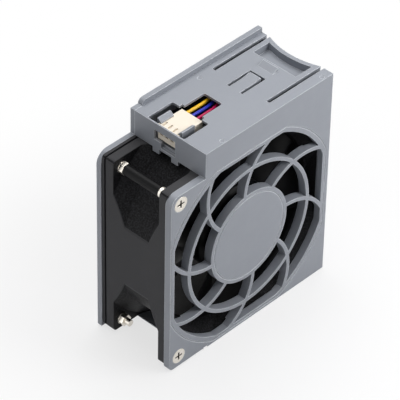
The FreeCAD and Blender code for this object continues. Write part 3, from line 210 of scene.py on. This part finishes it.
def object_place(tree):
    """The object's own coordinates, in metres."""
    return add(tree, "ShaderNodeTexCoord").outputs["Object"]


# %% [markdown]
# ### Soft edges
# A mould has no perfectly sharp edges, and the small radius catches a thin line of
# light. The Bevel node rounds the shading at an edge without touching the mesh. How
# far its normal leans from the true one also tells where the edges are, and that
# mask paints edges lighter: wear on some finishes, a painted highlight on others.

# %% soft edge group
soft_edge, start, end = new_group(
    "soft_edge", [("Radius", 0.4 * MM), ("Spread", 12.0)],
    [("Normal", "NodeSocketVector"), ("Edge", "NodeSocketFloat")])
rounded = add(soft_edge, "ShaderNodeBevel", {"samples": 6},
              Radius=start.outputs["Radius"])
true_normal = add(soft_edge, "ShaderNodeNewGeometry").outputs["Normal"]
lean = add(soft_edge, "ShaderNodeVectorMath", {"operation": "DOT_PRODUCT"},
           slot0=rounded.outputs[0], slot1=true_normal)
turned = maths(soft_edge, "SUBTRACT", 1.0, lean.outputs["Value"])
edge = maths(soft_edge, "MULTIPLY", turned, start.outputs["Spread"], clamp=True)
soft_edge.links.new(rounded.outputs[0], end.inputs["Normal"])
soft_edge.links.new(edge, end.inputs["Edge"])
print("group:", soft_edge.name)


# %% [markdown]
# ### Spark-eroded grain
# The mould of a server part is spark eroded, which prints a fine even grain on the
# plastic. Two noise layers, a fine one and one about three times coarser, give a
# height for a Bump node. Displaced geometry would cost millions of faces for a grain
# that is finer than a hair. The grain's size is given in metres, because the object's
# own coordinates are in metres.

# %% grain group
BROAD_SHARE = 0.31               # the broad layer's scale over the fine one's
grain, start, end = new_group("spark_grain", [("Size", 0.3 * MM), ("Coarse", 0.35)],
                              [("Height", "NodeSocketFloat")])
spot = object_place(grain)
scale = maths(grain, "DIVIDE", 1.0, start.outputs["Size"])
fine = add(grain, "ShaderNodeTexNoise", Vector=spot, Scale=scale, Detail=2.0)
broad = add(grain, "ShaderNodeTexNoise", Vector=spot,
            Scale=maths(grain, "MULTIPLY", scale, BROAD_SHARE), Detail=1.0)
height = maths(grain, "ADD", fine.outputs[0],
               maths(grain, "MULTIPLY", broad.outputs[0], start.outputs["Coarse"]))
grain.links.new(height, end.inputs["Height"])
print("group:", grain.name)


# %% [markdown]
# ### Tone drift
# Moulded plastic is never one flat tone. Flow and handling leave slow, faint
# clouds a few centimetres wide, and small spots where fingers have polished the
# grain. The group gives both masks, and each material decides how much to use.

# %% drift group
drift, start, end = new_group("tone_drift", [("Width", 20 * MM), ("Spots", 4 * MM)],
                              [("Cloud", "NodeSocketFloat"), ("Spot", "NodeSocketFloat")])
spot = object_place(drift)
cloud = add(drift, "ShaderNodeTexNoise", Vector=spot,
            Scale=maths(drift, "DIVIDE", 1.0, start.outputs["Width"]), Detail=3.0)
speck = add(drift, "ShaderNodeTexNoise", Vector=spot,
            Scale=maths(drift, "DIVIDE", 1.0, start.outputs["Spots"]), Detail=4.0)
speck = add(drift, "ShaderNodeMapRange", Value=speck.outputs[0], From_Min=0.42,
            From_Max=0.72)
drift.links.new(cloud.outputs[0], end.inputs["Cloud"])
drift.links.new(speck.outputs[0], end.inputs["Spot"])
print("group:", drift.name)


# %% [markdown]
# ### Brushed and turned metal
# A ground shaft, a drawn cup, a stack of laminations and a wound coil all show fine
# lines across the axle. A wave texture along Y gives them, and a little noise breaks
# them. At a scale of 1 a wave is about 0.3 units long, so the scale is 0.3 over the
# pitch that is asked for.

# %% ring group
WAVE_LONG = 0.3
rings, start, end = new_group("machined_rings", [("Pitch", 0.2 * MM), ("Break", 2.0)],
                              [("Height", "NodeSocketFloat")])
spot = object_place(rings)
wave = add(rings, "ShaderNodeTexWave", {"wave_type": "BANDS", "bands_direction": "Y"},
           Vector=spot, Scale=maths(rings, "DIVIDE", WAVE_LONG, start.outputs["Pitch"]),
           Distortion=start.outputs["Break"], Detail=2.0)
rings.links.new(wave.outputs["Color"], end.inputs["Height"])
print("group:", rings.name)


# %% [markdown]
# ## Materials
# Colours are written as they are seen, from 0 to 255, and `seen` turns them into the
# linear values that the renderer works with. `blended` mixes two colours by a mask,
# and `grouped` places a node group in a material. A Mix node has one set of sockets
# for each kind of value, so the sockets for colours and for vectors are named here
# by their places.

# %% colour helpers
COLOUR_A, COLOUR_B, COLOUR_OUT = 6, 7, 2
VECTOR_A, VECTOR_B, VECTOR_OUT = 4, 5, 1


def seen(red, green, blue):
    """A colour as the eye reads it, 0 to 255, in linear light, by the sRGB curve."""
    part = [(v / 255 / 12.92) if v <= 10 else ((v / 255 + 0.055) / 1.055) ** 2.4
            for v in (red, green, blue)]
    return (*part, 1.0)


def blended(tree, share, one, two):
    """Two colours mixed by a mask."""
    node = add(tree, "ShaderNodeMix", {"data_type": "RGBA"}, slot0=share)
    for place, what in ((COLOUR_A, one), (COLOUR_B, two)):
        if isinstance(what, bpy.types.NodeSocket):
            tree.links.new(what, node.inputs[place])
        else:
            node.inputs[place].default_value = what
    return node.outputs[COLOUR_OUT]


def grouped(tree, group, **sockets):
    """A node group placed in a material, with its own values."""
    node = tree.nodes.new("ShaderNodeGroup")
    node.node_tree = group
    for label, what in sockets.items():
        node.inputs[label].default_value = what
    return node


print("a mid grey of 128 is", round(seen(128, 128, 128)[0], 3), "in linear light")


# %% [markdown]
# Every finish is a Principled shader fed by the groups. `finish` builds the common
# part: a base colour that drifts a little, edges painted lighter or left as they are
# (wear, and on the grey cover a painted highlight), a roughness that varies, and a
# normal made of the soft edge, the grain and, on some metals, fine lines. One helper
# keeps the finishes alike, and each one still has its own values. `coat` puts a
# finish on pieces by name.

# %% finish helper
def finish(name, colour, dark=None, scuff_and_highlight_colour=None, rough=(0.4, 0.55), radius=0.4 * MM,
           grain_size=0.3 * MM, grain_depth=0.01 * MM, edge_scuff_and_highlight=0.5, metal=0.0, lines=None,
           **shader):
    """A material with drift, edges painted lighter for wear and painted highlight, grain
    and soft edges; lines are a pitch and a depth.
    """
    material = bpy.data.materials.new(name)
    material.use_nodes = True
    tree = material.node_tree
    surface = tree.nodes["Principled BSDF"]
    clouds = grouped(tree, drift)
    edges = grouped(tree, soft_edge, Radius=radius)
    base = blended(tree, clouds.outputs["Cloud"], dark or colour, colour)
    # The edge mask paints edges lighter: wear, and on some finishes a painted highlight.
    amount = maths(tree, "MULTIPLY", edges.outputs["Edge"], edge_scuff_and_highlight)
    base = blended(tree, amount, base, scuff_and_highlight_colour or colour)
    tree.links.new(base, surface.inputs["Base Color"])
    spread = add(tree, "ShaderNodeMapRange", Value=clouds.outputs["Spot"],
                 To_Min=rough[1], To_Max=rough[0])
    tree.links.new(spread.outputs[0], surface.inputs["Roughness"])
    pits = grouped(tree, grain, Size=grain_size)
    bump = add(tree, "ShaderNodeBump", Height=pits.outputs[0], Distance=grain_depth,
               Normal=edges.outputs["Normal"])
    if lines:
        bands = grouped(tree, rings, Pitch=lines[0])
        bump = add(tree, "ShaderNodeBump", Height=bands.outputs[0], Distance=lines[1],
                   Normal=bump.outputs[0])
    tree.links.new(bump.outputs[0], surface.inputs["Normal"])
    surface.inputs["Metallic"].default_value = metal
    for label, what in shader.items():
        surface.inputs[label.replace("_", " ")].default_value = what
    print("finish:", name)
    return material


def coat(material, *names):
    """Put a material on CAD nodes by name."""
    for name in names:
        mesh = nodes[name].data
        mesh.materials.clear()
        mesh.materials.append(material)
    print(material.name, "on", len(names), "pieces")


# %% [markdown]
# ## The cover moulding
# The front plate, its guard, the cable box, the side wall and the floor come out of
# one mould in the real module, and no joint shows between them. The CAD model keeps
# them as five nodes, so here they are joined by a boolean union into one piece. Its
# flat faces stay flat with weighted normals, and only true corners are sharp.

# %% join helpers
WELD_GAP = 1e-7


def welded_copy(name):
    """A free copy of a CAD node with its split corners joined."""
    mesh = nodes[name].data.copy()
    mesh.materials.clear()
    shape = bmesh.new()
    shape.from_mesh(mesh)
    bmesh.ops.remove_doubles(shape, verts=shape.verts, dist=WELD_GAP)
    shape.to_mesh(mesh)
    shape.free()
    piece = bpy.data.objects.new("joined_" + name, mesh)
    bpy.context.scene.collection.objects.link(piece)
    return piece


def join_nodes(name, parts):
    """One closed piece made of several CAD nodes that meet face to face."""
    piece = welded_copy(parts[0])
    for part in parts[1:]:
        other = welded_copy(part)
        union = piece.modifiers.new("union", "BOOLEAN")
        union.operation, union.solver, union.object = "UNION", "EXACT", other
        view = bpy.context.evaluated_depsgraph_get()
        joined = bpy.data.meshes.new_from_object(piece.evaluated_get(view), depsgraph=view)
        piece.modifiers.clear()
        piece.data = joined
        bpy.data.objects.remove(other)
    piece.name = piece.data.name = name
    return piece


def crisp_corners(piece, angle=25, pull=80):
    """Smooth shading, sharp corners above the angle, and large faces that pull flat."""
    shape = bmesh.new()
    shape.from_mesh(piece.data)
    for face in shape.faces:
        face.smooth = True
    for line in shape.edges:
        bend = line.calc_face_angle(math.pi)
        line.smooth = bend < math.radians(angle)
    shape.to_mesh(piece.data)
    shape.free()
    even = piece.modifiers.new("even_normals", "WEIGHTED_NORMAL")
    even.keep_sharp, even.weight = True, pull


# %% [markdown]
# Laying the five pieces side by side would leave a hairline along each seam once the
# edges are softened. The union takes the faces between them away, and the new piece
# takes the place of all five.

# %% cover moulding
COVER_PARTS = ("front_plate", "front_guard", "cable_box", "side_panel", "floor_panel")
cover = join_nodes("cover_moulding", COVER_PARTS)
crisp_corners(cover)
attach(cover, "housing")
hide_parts(*COVER_PARTS)
print("cover faces:", len(cover.data.polygons))


# %% [markdown]
# ### Grey cover plastic
# The covers, the guard and the latch are one blue-grey ABS blend with a satin
# grain. It is a cool mid grey; its edges are painted much lighter, a painted highlight
# where the rounded mould edges catch the light.

# %% grey plastic
# The light edge colour and its strong share are a painted highlight on the edges.
cover_grey = finish("cover_grey", seen(145, 149, 157), dark=seen(139, 143, 151),
                    scuff_and_highlight_colour=seen(212, 216, 222), rough=(0.42, 0.52), radius=0.35 * MM,
                    grain_size=0.28 * MM, grain_depth=0.012 * MM, edge_scuff_and_highlight=0.9)
coat(cover_grey, "rear_cover", "plug_cradle", "release_latch", "snap_finger")
cover.data.materials.append(cover_grey)


# %% [markdown]
# The latch and the small finger grow out of the cover, but the CAD model has them as
# pieces of their own, so that they can move. A soft edge with its painted highlight at
# their roots would draw a line that the real moulding doesn't have. A mask near each
# root gives the true normal there and takes the painted highlight away.

# %% tongue roots
ROOT_LONG, ROOT_SIDE = 0.6 * MM, 0.1 * MM


def soften_roots(material, *tongues):
    """Keep edges soft and painted bright except where a tongue grows out of the cover."""
    tree = material.node_tree
    way = add(tree, "ShaderNodeSeparateXYZ", slot0=object_place(tree))
    near = 0.0
    for name in tongues:
        low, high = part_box(name)
        close = maths(tree, "COMPARE", way.outputs["X"], low.x, ROOT_LONG)
        across = maths(tree, "COMPARE", way.outputs["Y"], (low.y + high.y) / 2,
                       (high.y - low.y) / 2 - ROOT_SIDE)
        near = maths(tree, "MAXIMUM", near, maths(tree, "MULTIPLY", close, across))
    edges = next(n for n in tree.nodes if n.type == "GROUP" and n.node_tree == soft_edge)
    plain = add(tree, "ShaderNodeNewGeometry").outputs["Normal"]
    normal = add(tree, "ShaderNodeMix", {"data_type": "VECTOR"}, slot0=near)
    tree.links.new(edges.outputs["Normal"], normal.inputs[VECTOR_A])
    tree.links.new(plain, normal.inputs[VECTOR_B])
    for link in list(edges.outputs["Normal"].links):
        if link.to_node != normal:
            tree.links.new(normal.outputs[VECTOR_OUT], link.to_socket)
    away = maths(tree, "SUBTRACT", 1.0, near)
    scuffed_and_highlit = maths(tree, "MULTIPLY", edges.outputs["Edge"], away)
    for link in list(edges.outputs["Edge"].links):
        if link.to_socket.node != scuffed_and_highlit.node:
            tree.links.new(scuffed_and_highlit, link.to_socket)
    print(material.name, "roots:", ", ".join(tongues))


soften_roots(cover_grey, "release_latch", "snap_finger")


# %% [markdown]
# ### Black fan plastic
# The fan's frame is glass-filled PBT, a dark grey on its flat sides. The faces
# that lie below them are painted near black as painted shade, with specks where fibres
# reach the skin, and the duct is painted darker still as painted shade. The three zones
# are told apart by the distance from the axle, so one material covers the frame without a
# seam.

# %% frame plastic
# The duct's radius, inside which painted shade goes, and the step in from the flat sides
# where the painted shade below them starts.
DUCT_REACH = 38.9 * MM
SHADE_STEP_IN = 0.3 * MM
frame_black = finish("frame_black", seen(69, 69, 71), dark=seen(61, 61, 63),
                     scuff_and_highlight_colour=seen(84, 84, 87), rough=(0.5, 0.54), radius=0.3 * MM,
                     grain_size=0.5 * MM, grain_depth=0.08 * MM, edge_scuff_and_highlight=0.35,
                     Specular_IOR_Level=0.08)
coat(frame_black, "fan_frame", "motor_mount")


def paint_frame_shade(material, piece):
    """Flat sides in their own grey, painted shade with fibre specks below them, darker
    painted shade in the duct.
    """
    tree = material.node_tree
    surface = tree.nodes["Principled BSDF"]
    low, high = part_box(piece.name)
    origin = piece.matrix_world.translation
    way = add(tree, "ShaderNodeSeparateXYZ", slot0=object_place(tree))
    aside = maths(tree, "SUBTRACT", way.outputs["X"], axle_x - origin.x)
    above = maths(tree, "SUBTRACT", way.outputs["Z"], axle_z - origin.z)
    reach = maths(tree, "MAXIMUM", maths(tree, "ABSOLUTE", aside),
                  maths(tree, "ABSOLUTE", above))
    # Faces set in from the flat sides get painted shade, near black with fibre specks.
    shaded_below = maths(tree, "LESS_THAN", reach, (high.x - low.x) / 2 - SHADE_STEP_IN)
    specks = grouped(tree, drift, Spots=0.6 * MM).outputs["Spot"]
    deep = blended(tree, specks, seen(20, 20, 21), seen(50, 50, 53))
    scuffed_and_highlit = surface.inputs["Base Color"].links[0].from_socket
    base = blended(tree, shaded_below, scuffed_and_highlit, deep)
    square = maths(tree, "ADD", maths(tree, "MULTIPLY", aside, aside),
                   maths(tree, "MULTIPLY", above, above))
    # Inside the duct the colour is painted shade, nearly black.
    duct_shade = maths(tree, "LESS_THAN", square, DUCT_REACH * DUCT_REACH)
    base = blended(tree, duct_shade, base, seen(9, 9, 10))
    tree.links.new(base, surface.inputs["Base Color"])
    print("duct shade painted within", round(DUCT_REACH / MM, 1), "mm of the axle")


paint_frame_shade(frame_black, nodes["fan_frame"])


# %% [markdown]
# The impeller comes out of a polished mould, so it is smoother than the frame, with a
# faint sheen on its blades. The same helper gives it a finer, flatter grain.

# %% rotor plastic
# Its own black is taken darker still, as painted shade inside the duct.
rotor_black = finish("rotor_black", seen(12, 12, 13), dark=seen(9, 9, 10),
                     scuff_and_highlight_colour=seen(26, 26, 28), rough=(0.3, 0.36), radius=0.25 * MM,
                     grain_size=0.6 * MM, grain_depth=0.004 * MM, edge_scuff_and_highlight=0.3,
                     Specular_IOR_Level=0.06)
coat(rotor_black, "impeller")


# %% [markdown]
# ### Fasteners
# The M3 screws, nuts and washers are nickel plated: bright, warm in tone, with a
# soft blur. Plating is thinnest on the crests, so the edges stay bright. The driver
# recess is painted dark brown as painted shade.

# %% nickel
NICKEL = seen(230, 225, 216)
nickel = finish("nickel_plate", NICKEL, dark=seen(216, 210, 200),
                scuff_and_highlight_colour=seen(240, 236, 228), rough=(0.18, 0.34), radius=0.2 * MM,
                grain_size=0.8 * MM, grain_depth=0.003 * MM, edge_scuff_and_highlight=0.6, metal=1.0)
coat(nickel, *[n for n in nodes if "_screw_" in n or "_nut_" in n or "_washer_" in n])


# %% [markdown]
# The cross recess could have its own piece, but the screw is one forging. So the
# faces that lie below the head's plane and near its axis are picked out, and they
# get a second material, a painted shade, on the same mesh.

# %% driver recesses
RECESS_REACH = 2.2 * MM
RECESS_TOP, RECESS_FLOOR = 0.05 * MM, 1.9 * MM
RECESS_CONE = 3.05 * MM          # the shank under the head lies outside this cone
# A dark brown for the recess, painted shade.
recess_painted_shade = finish("recess_painted_shade", seen(58, 50, 42), rough=(0.5, 0.6),
                      radius=0.1 * MM, grain_depth=0.004 * MM)


def darken_recess(name, outward):
    """Give the faces that lie below a screw's head plane, near its axis, the painted shade.
    """
    mesh = nodes[name].data
    low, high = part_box(name)
    axis_x, axis_z = (low.x + high.x) / 2, (low.z + high.z) / 2
    face_y = low.y if outward < 0 else high.y
    mesh.materials.append(recess_painted_shade)
    to_world = nodes[name].matrix_world
    count = 0
    for face in mesh.polygons:
        spot = to_world @ face.center
        reach = math.hypot(spot.x - axis_x, spot.z - axis_z)
        deep = (face_y - spot.y) * outward
        near = reach < min(RECESS_REACH, RECESS_CONE - deep)
        if near and RECESS_TOP < deep < RECESS_FLOOR:
            face.material_index = 1
            count += 1
    print(name, "recess faces:", count)


for word in ("upper", "lower"):
    darken_recess("front_screw_" + word, -1)
    darken_recess("rear_screw_" + word, 1)


# %% [markdown]
# ### The spacer sleeve
# A plated spacer keeps the upper corner of the flanges apart. Black shrink tube
# covers it except for a bare end beside the front nut. Both finishes meet on one
# smooth cylinder, so a mask along the axis changes colour and metal together.

# %% spacer sleeve
SLEEVE_BARE = 2.0 * MM
sleeve_black = finish("sleeve_black", seen(14, 14, 15), scuff_and_highlight_colour=seen(44, 44, 46),
                      rough=(0.3, 0.45), radius=0.2 * MM, grain_depth=0.004 * MM, edge_scuff_and_highlight=0.2,
                      Specular_IOR_Level=0.12)
tree = sleeve_black.node_tree
surface = tree.nodes["Principled BSDF"]
sleeve = nodes["corner_sleeve"]
bare_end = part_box("corner_sleeve")[0].y + SLEEVE_BARE
along = add(tree, "ShaderNodeSeparateXYZ", slot0=object_place(tree)).outputs["Y"]
bare = maths(tree, "LESS_THAN", along, bare_end - sleeve.matrix_world.translation.y)
black = surface.inputs["Base Color"].links[0].from_socket
tree.links.new(blended(tree, bare, black, NICKEL), surface.inputs["Base Color"])
tree.links.new(bare, surface.inputs["Metallic"])
coat(sleeve_black, "corner_sleeve")
print("bare sleeve end at", round(bare_end / MM, 2), "mm")


# %% [markdown]
# ### The plug
# The four-way fan plug is natural nylon, a warm and almost white cream.
# Its box contacts are bare phosphor bronze, taken darker brown as painted shade down in
# their cavities.

# %% plug materials
plug_nylon = finish("plug_nylon", seen(241, 231, 215), dark=seen(237, 226, 208),
                    scuff_and_highlight_colour=seen(244, 238, 227), rough=(0.35, 0.5), radius=0.2 * MM,
                    grain_depth=0.004 * MM, edge_scuff_and_highlight=0.4)
coat(plug_nylon, "plug_housing")
# The contacts' bronze is taken darker, painted shade for the cavities.
bronze_painted_shade = finish("contact_bronze_painted_shade", seen(128, 102, 74), rough=(0.3, 0.45),
                radius=0.1 * MM, grain_depth=0.002 * MM, metal=1.0)
coat(bronze_painted_shade, *[n for n in nodes if n.startswith("contact_")])


# %% [markdown]
# ### Wire insulation
# PVC is smooth and slightly glossy. Each wire has one strong colour, which the drift
# group breaks a little: darker in the clouds and lighter where it is rubbed.

# %% wire materials
DARK_SHARE, RUBBED_STEP = 0.93, 25
insulation = {"black": (38, 38, 40), "red": (206, 28, 92), "blue": (36, 52, 190),
              "yellow": (246, 196, 34)}
for colour, shade in insulation.items():
    pvc = finish("pvc_" + colour, seen(*shade), dark=seen(*[v * DARK_SHARE for v in shade]),
                 scuff_and_highlight_colour=seen(*[min(v + RUBBED_STEP, 255) for v in shade]),
                 rough=(0.28, 0.4), radius=0.1 * MM, grain_size=0.8 * MM,
                 grain_depth=0.003 * MM, edge_scuff_and_highlight=0.1)
    wires[colour].data.materials.append(pvc)


# %% [markdown]
# ### Inside the motor
# Nobody sees these parts from outside, but each is a piece of its own. The metal ones
# are a drawn steel yoke, a brass bush, a ground shaft, ball bearings, a laminated
# core and enamelled copper coils. The machined_rings group gives the lines of
# turning, of the laminations and of the wound wire.

# %% motor metals
steel = finish("bright_steel", seen(190, 192, 196), dark=seen(176, 178, 182),
               scuff_and_highlight_colour=seen(222, 224, 228), rough=(0.2, 0.32), radius=0.1 * MM,
               grain_size=0.6 * MM, grain_depth=0.002 * MM, metal=1.0,
               lines=(0.18 * MM, 0.003 * MM))
coat(steel, "rotor_shaft", "front_bearing", "rear_bearing", "preload_spring",
     "retaining_clip", "rotor_yoke")
brass = finish("brass", seen(206, 170, 92), rough=(0.25, 0.4), radius=0.1 * MM, metal=1.0)
coat(brass, "shaft_bush")
core_steel = finish("core_laminations", seen(120, 122, 128), dark=seen(92, 94, 100),
                    rough=(0.3, 0.5), radius=0.1 * MM, metal=1.0,
                    lines=(0.5 * MM, 0.04 * MM))
coat(core_steel, "stator_core")
copper = finish("enamelled_copper", seen(176, 92, 44), dark=seen(150, 72, 34),
                rough=(0.22, 0.35), radius=0.1 * MM, metal=1.0, lines=(0.3 * MM, 0.08 * MM))
coat(copper, "coil_0", "coil_1", "coil_2", "coil_3")


# %% [markdown]
# The rest is a pressed ferrite ring, two nylon insulators and a green board with its
# driver chip and its Hall sensor in black epoxy.

# %% motor magnet, insulators and board
ferrite = finish("bonded_ferrite", seen(58, 56, 56), rough=(0.55, 0.7), radius=0.2 * MM)
coat(ferrite, "magnet_ring")
insulator = finish("insulator_nylon", seen(214, 206, 190), rough=(0.4, 0.5),
                   radius=0.1 * MM)
coat(insulator, "insulator_front", "insulator_rear")
board_green = finish("solder_mask", seen(24, 84, 50), dark=seen(18, 70, 42),
                     rough=(0.25, 0.35), radius=0.1 * MM)
coat(board_green, "circuit_board")
epoxy = finish("chip_epoxy", seen(34, 34, 36), rough=(0.5, 0.65), radius=0.1 * MM)
coat(epoxy, "driver_chip", "hall_sensor")


# %% [markdown]
# ## Riding and replacing
# Each wire rides on the housing and stands for its CAD solid, which is hidden.

# %% wires ride
for number, colour in enumerate(WIRE_ORDER):
    piece = wires[colour]
    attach(piece, "housing")
    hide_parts("wire_" + colour)


# %% [markdown]
# ## Floor and backdrop
# The module stands on a sheet of pale paper, which fades to plain white away from the
# object, so that only a soft shadow shows round the foot. The fade mixes in a white
# emission for the rays that the camera, a mirror or glass sends out, and leaves the
# paper itself for all other light.

# %% floor
FLOOR_HALF = 4.0
FLOOR_DROP = 0.2 * MM
FADE_START, FADE_END, FADE_LEAST = 50 * MM, 140 * MM, 0.70


def pale_floor():
    """A wide floor that is white for the camera far out and keeps the shadow near."""
    mesh = bpy.data.meshes.new("studio_floor")
    shape = bmesh.new()
    bmesh.ops.create_grid(shape, x_segments=4, y_segments=4, size=FLOOR_HALF)
    shape.to_mesh(mesh)
    shape.free()
    floor = bpy.data.objects.new("studio_floor", mesh)
    floor.location.z = -FLOOR_DROP
    bpy.context.scene.collection.objects.link(floor)
    material = bpy.data.materials.new("studio_paper")
    material.use_nodes = True
    tree = material.node_tree
    paper = tree.nodes["Principled BSDF"]
    paper.inputs["Base Color"].default_value = (0.86, 0.86, 0.87, 1)
    paper.inputs["Roughness"].default_value = 0.9
    paper.inputs["Specular IOR Level"].default_value = 0.2
    white = add(tree, "ShaderNodeEmission", Color=(1, 1, 1, 1), Strength=1.0)
    far = add(tree, "ShaderNodeVectorMath", {"operation": "LENGTH"},
              slot0=object_place(tree))
    fade = add(tree, "ShaderNodeMapRange", {"interpolation_type": "SMOOTHSTEP"},
               Value=far.outputs["Value"], From_Min=FADE_START, From_Max=FADE_END,
               To_Min=FADE_LEAST)
    path = add(tree, "ShaderNodeLightPath")
    direct = maths(tree, "MAXIMUM", path.outputs["Is Camera Ray"],
                   path.outputs["Is Glossy Ray"])
    direct = maths(tree, "MAXIMUM", direct, path.outputs["Is Transmission Ray"])
    share = maths(tree, "MULTIPLY", fade.outputs[0], direct)
    mix = add(tree, "ShaderNodeMixShader", slot0=share, slot1=paper.outputs[0],
              slot2=white.outputs[0])
    tree.links.new(mix.outputs[0], tree.nodes["Material Output"].inputs["Surface"])
    mesh.materials.append(material)
    print("floor fades out to", round(FADE_END / MM), "mm")


pale_floor()


# %% [markdown]
# ## Lamps and world
# Four soft lamps: a strong one above and a little behind for the top, a weak one
# over the near corner, one in front at the right that grades the front cover, and
# one far to the left for the fan's side. Area lamps are chosen because their size
# sets how soft a shadow is.

# %% lamps
LAMP_AIM = Vector((0, 0, 0.045))


def softbox(name, place, side, power):
    """A square area lamp, its side in metres, that points at the object."""
    data = bpy.data.lights.new(name, "AREA")
    data.shape, data.size, data.energy = "SQUARE", side, power
    lamp = bpy.data.objects.new(name, data)
    lamp.location = place
    lamp.rotation_euler = (LAMP_AIM - Vector(place)).to_track_quat("-Z", "Y").to_euler()
    bpy.context.scene.collection.objects.link(lamp)
    print(name, power, "W")


softbox("lamp_above", (0.10, 0.15, 0.60), side=0.45, power=2.42)
softbox("lamp_corner", (-0.10, -0.12, 0.40), side=0.30, power=0.2)
softbox("lamp_front", (0.11, -0.20, 0.19), side=0.16, power=0.44)
softbox("lamp_left", (-0.60, 0.12, 0.08), side=0.40, power=0.90)


# %% [markdown]
# The world is what the object mirrors and what fills its shadows. Light paths split
# the two: rays from the camera, a mirror or glass meet plain white, and all others
# meet the dome.

# %% world
DOME_LOW, DOME_HIGH = -0.2, 0.9      # heights of the sky between which it brightens
DOME_DIM, DOME_BRIGHT = 0.02, 0.15


def studio_world():
    """White for what is seen or mirrored, and a dim dome from above for the rest."""
    world = bpy.data.worlds.new("studio_world")
    bpy.context.scene.world = world
    world.use_nodes = True
    tree = world.node_tree
    back = tree.nodes["Background"]
    path = add(tree, "ShaderNodeLightPath")
    seen_ray = maths(tree, "MAXIMUM", path.outputs["Is Camera Ray"],
                     path.outputs["Is Transmission Ray"])
    seen_ray = maths(tree, "MAXIMUM", seen_ray, path.outputs["Is Glossy Ray"])
    way = add(tree, "ShaderNodeSeparateXYZ",
              slot0=add(tree, "ShaderNodeTexCoord").outputs["Generated"])
    dome = add(tree, "ShaderNodeMapRange", Value=way.outputs["Z"], From_Min=DOME_LOW,
               From_Max=DOME_HIGH, To_Min=DOME_DIM, To_Max=DOME_BRIGHT)
    strength = add(tree, "ShaderNodeMix", slot0=seen_ray, slot2=dome.outputs[0], slot3=1.0)
    tree.links.new(strength.outputs[0], back.inputs["Strength"])
    back.inputs["Color"].default_value = (1, 1, 1, 1)


studio_world()
bpy.context.scene.view_settings.view_transform = "Standard"
print("dome from", DOME_DIM, "to", DOME_BRIGHT)
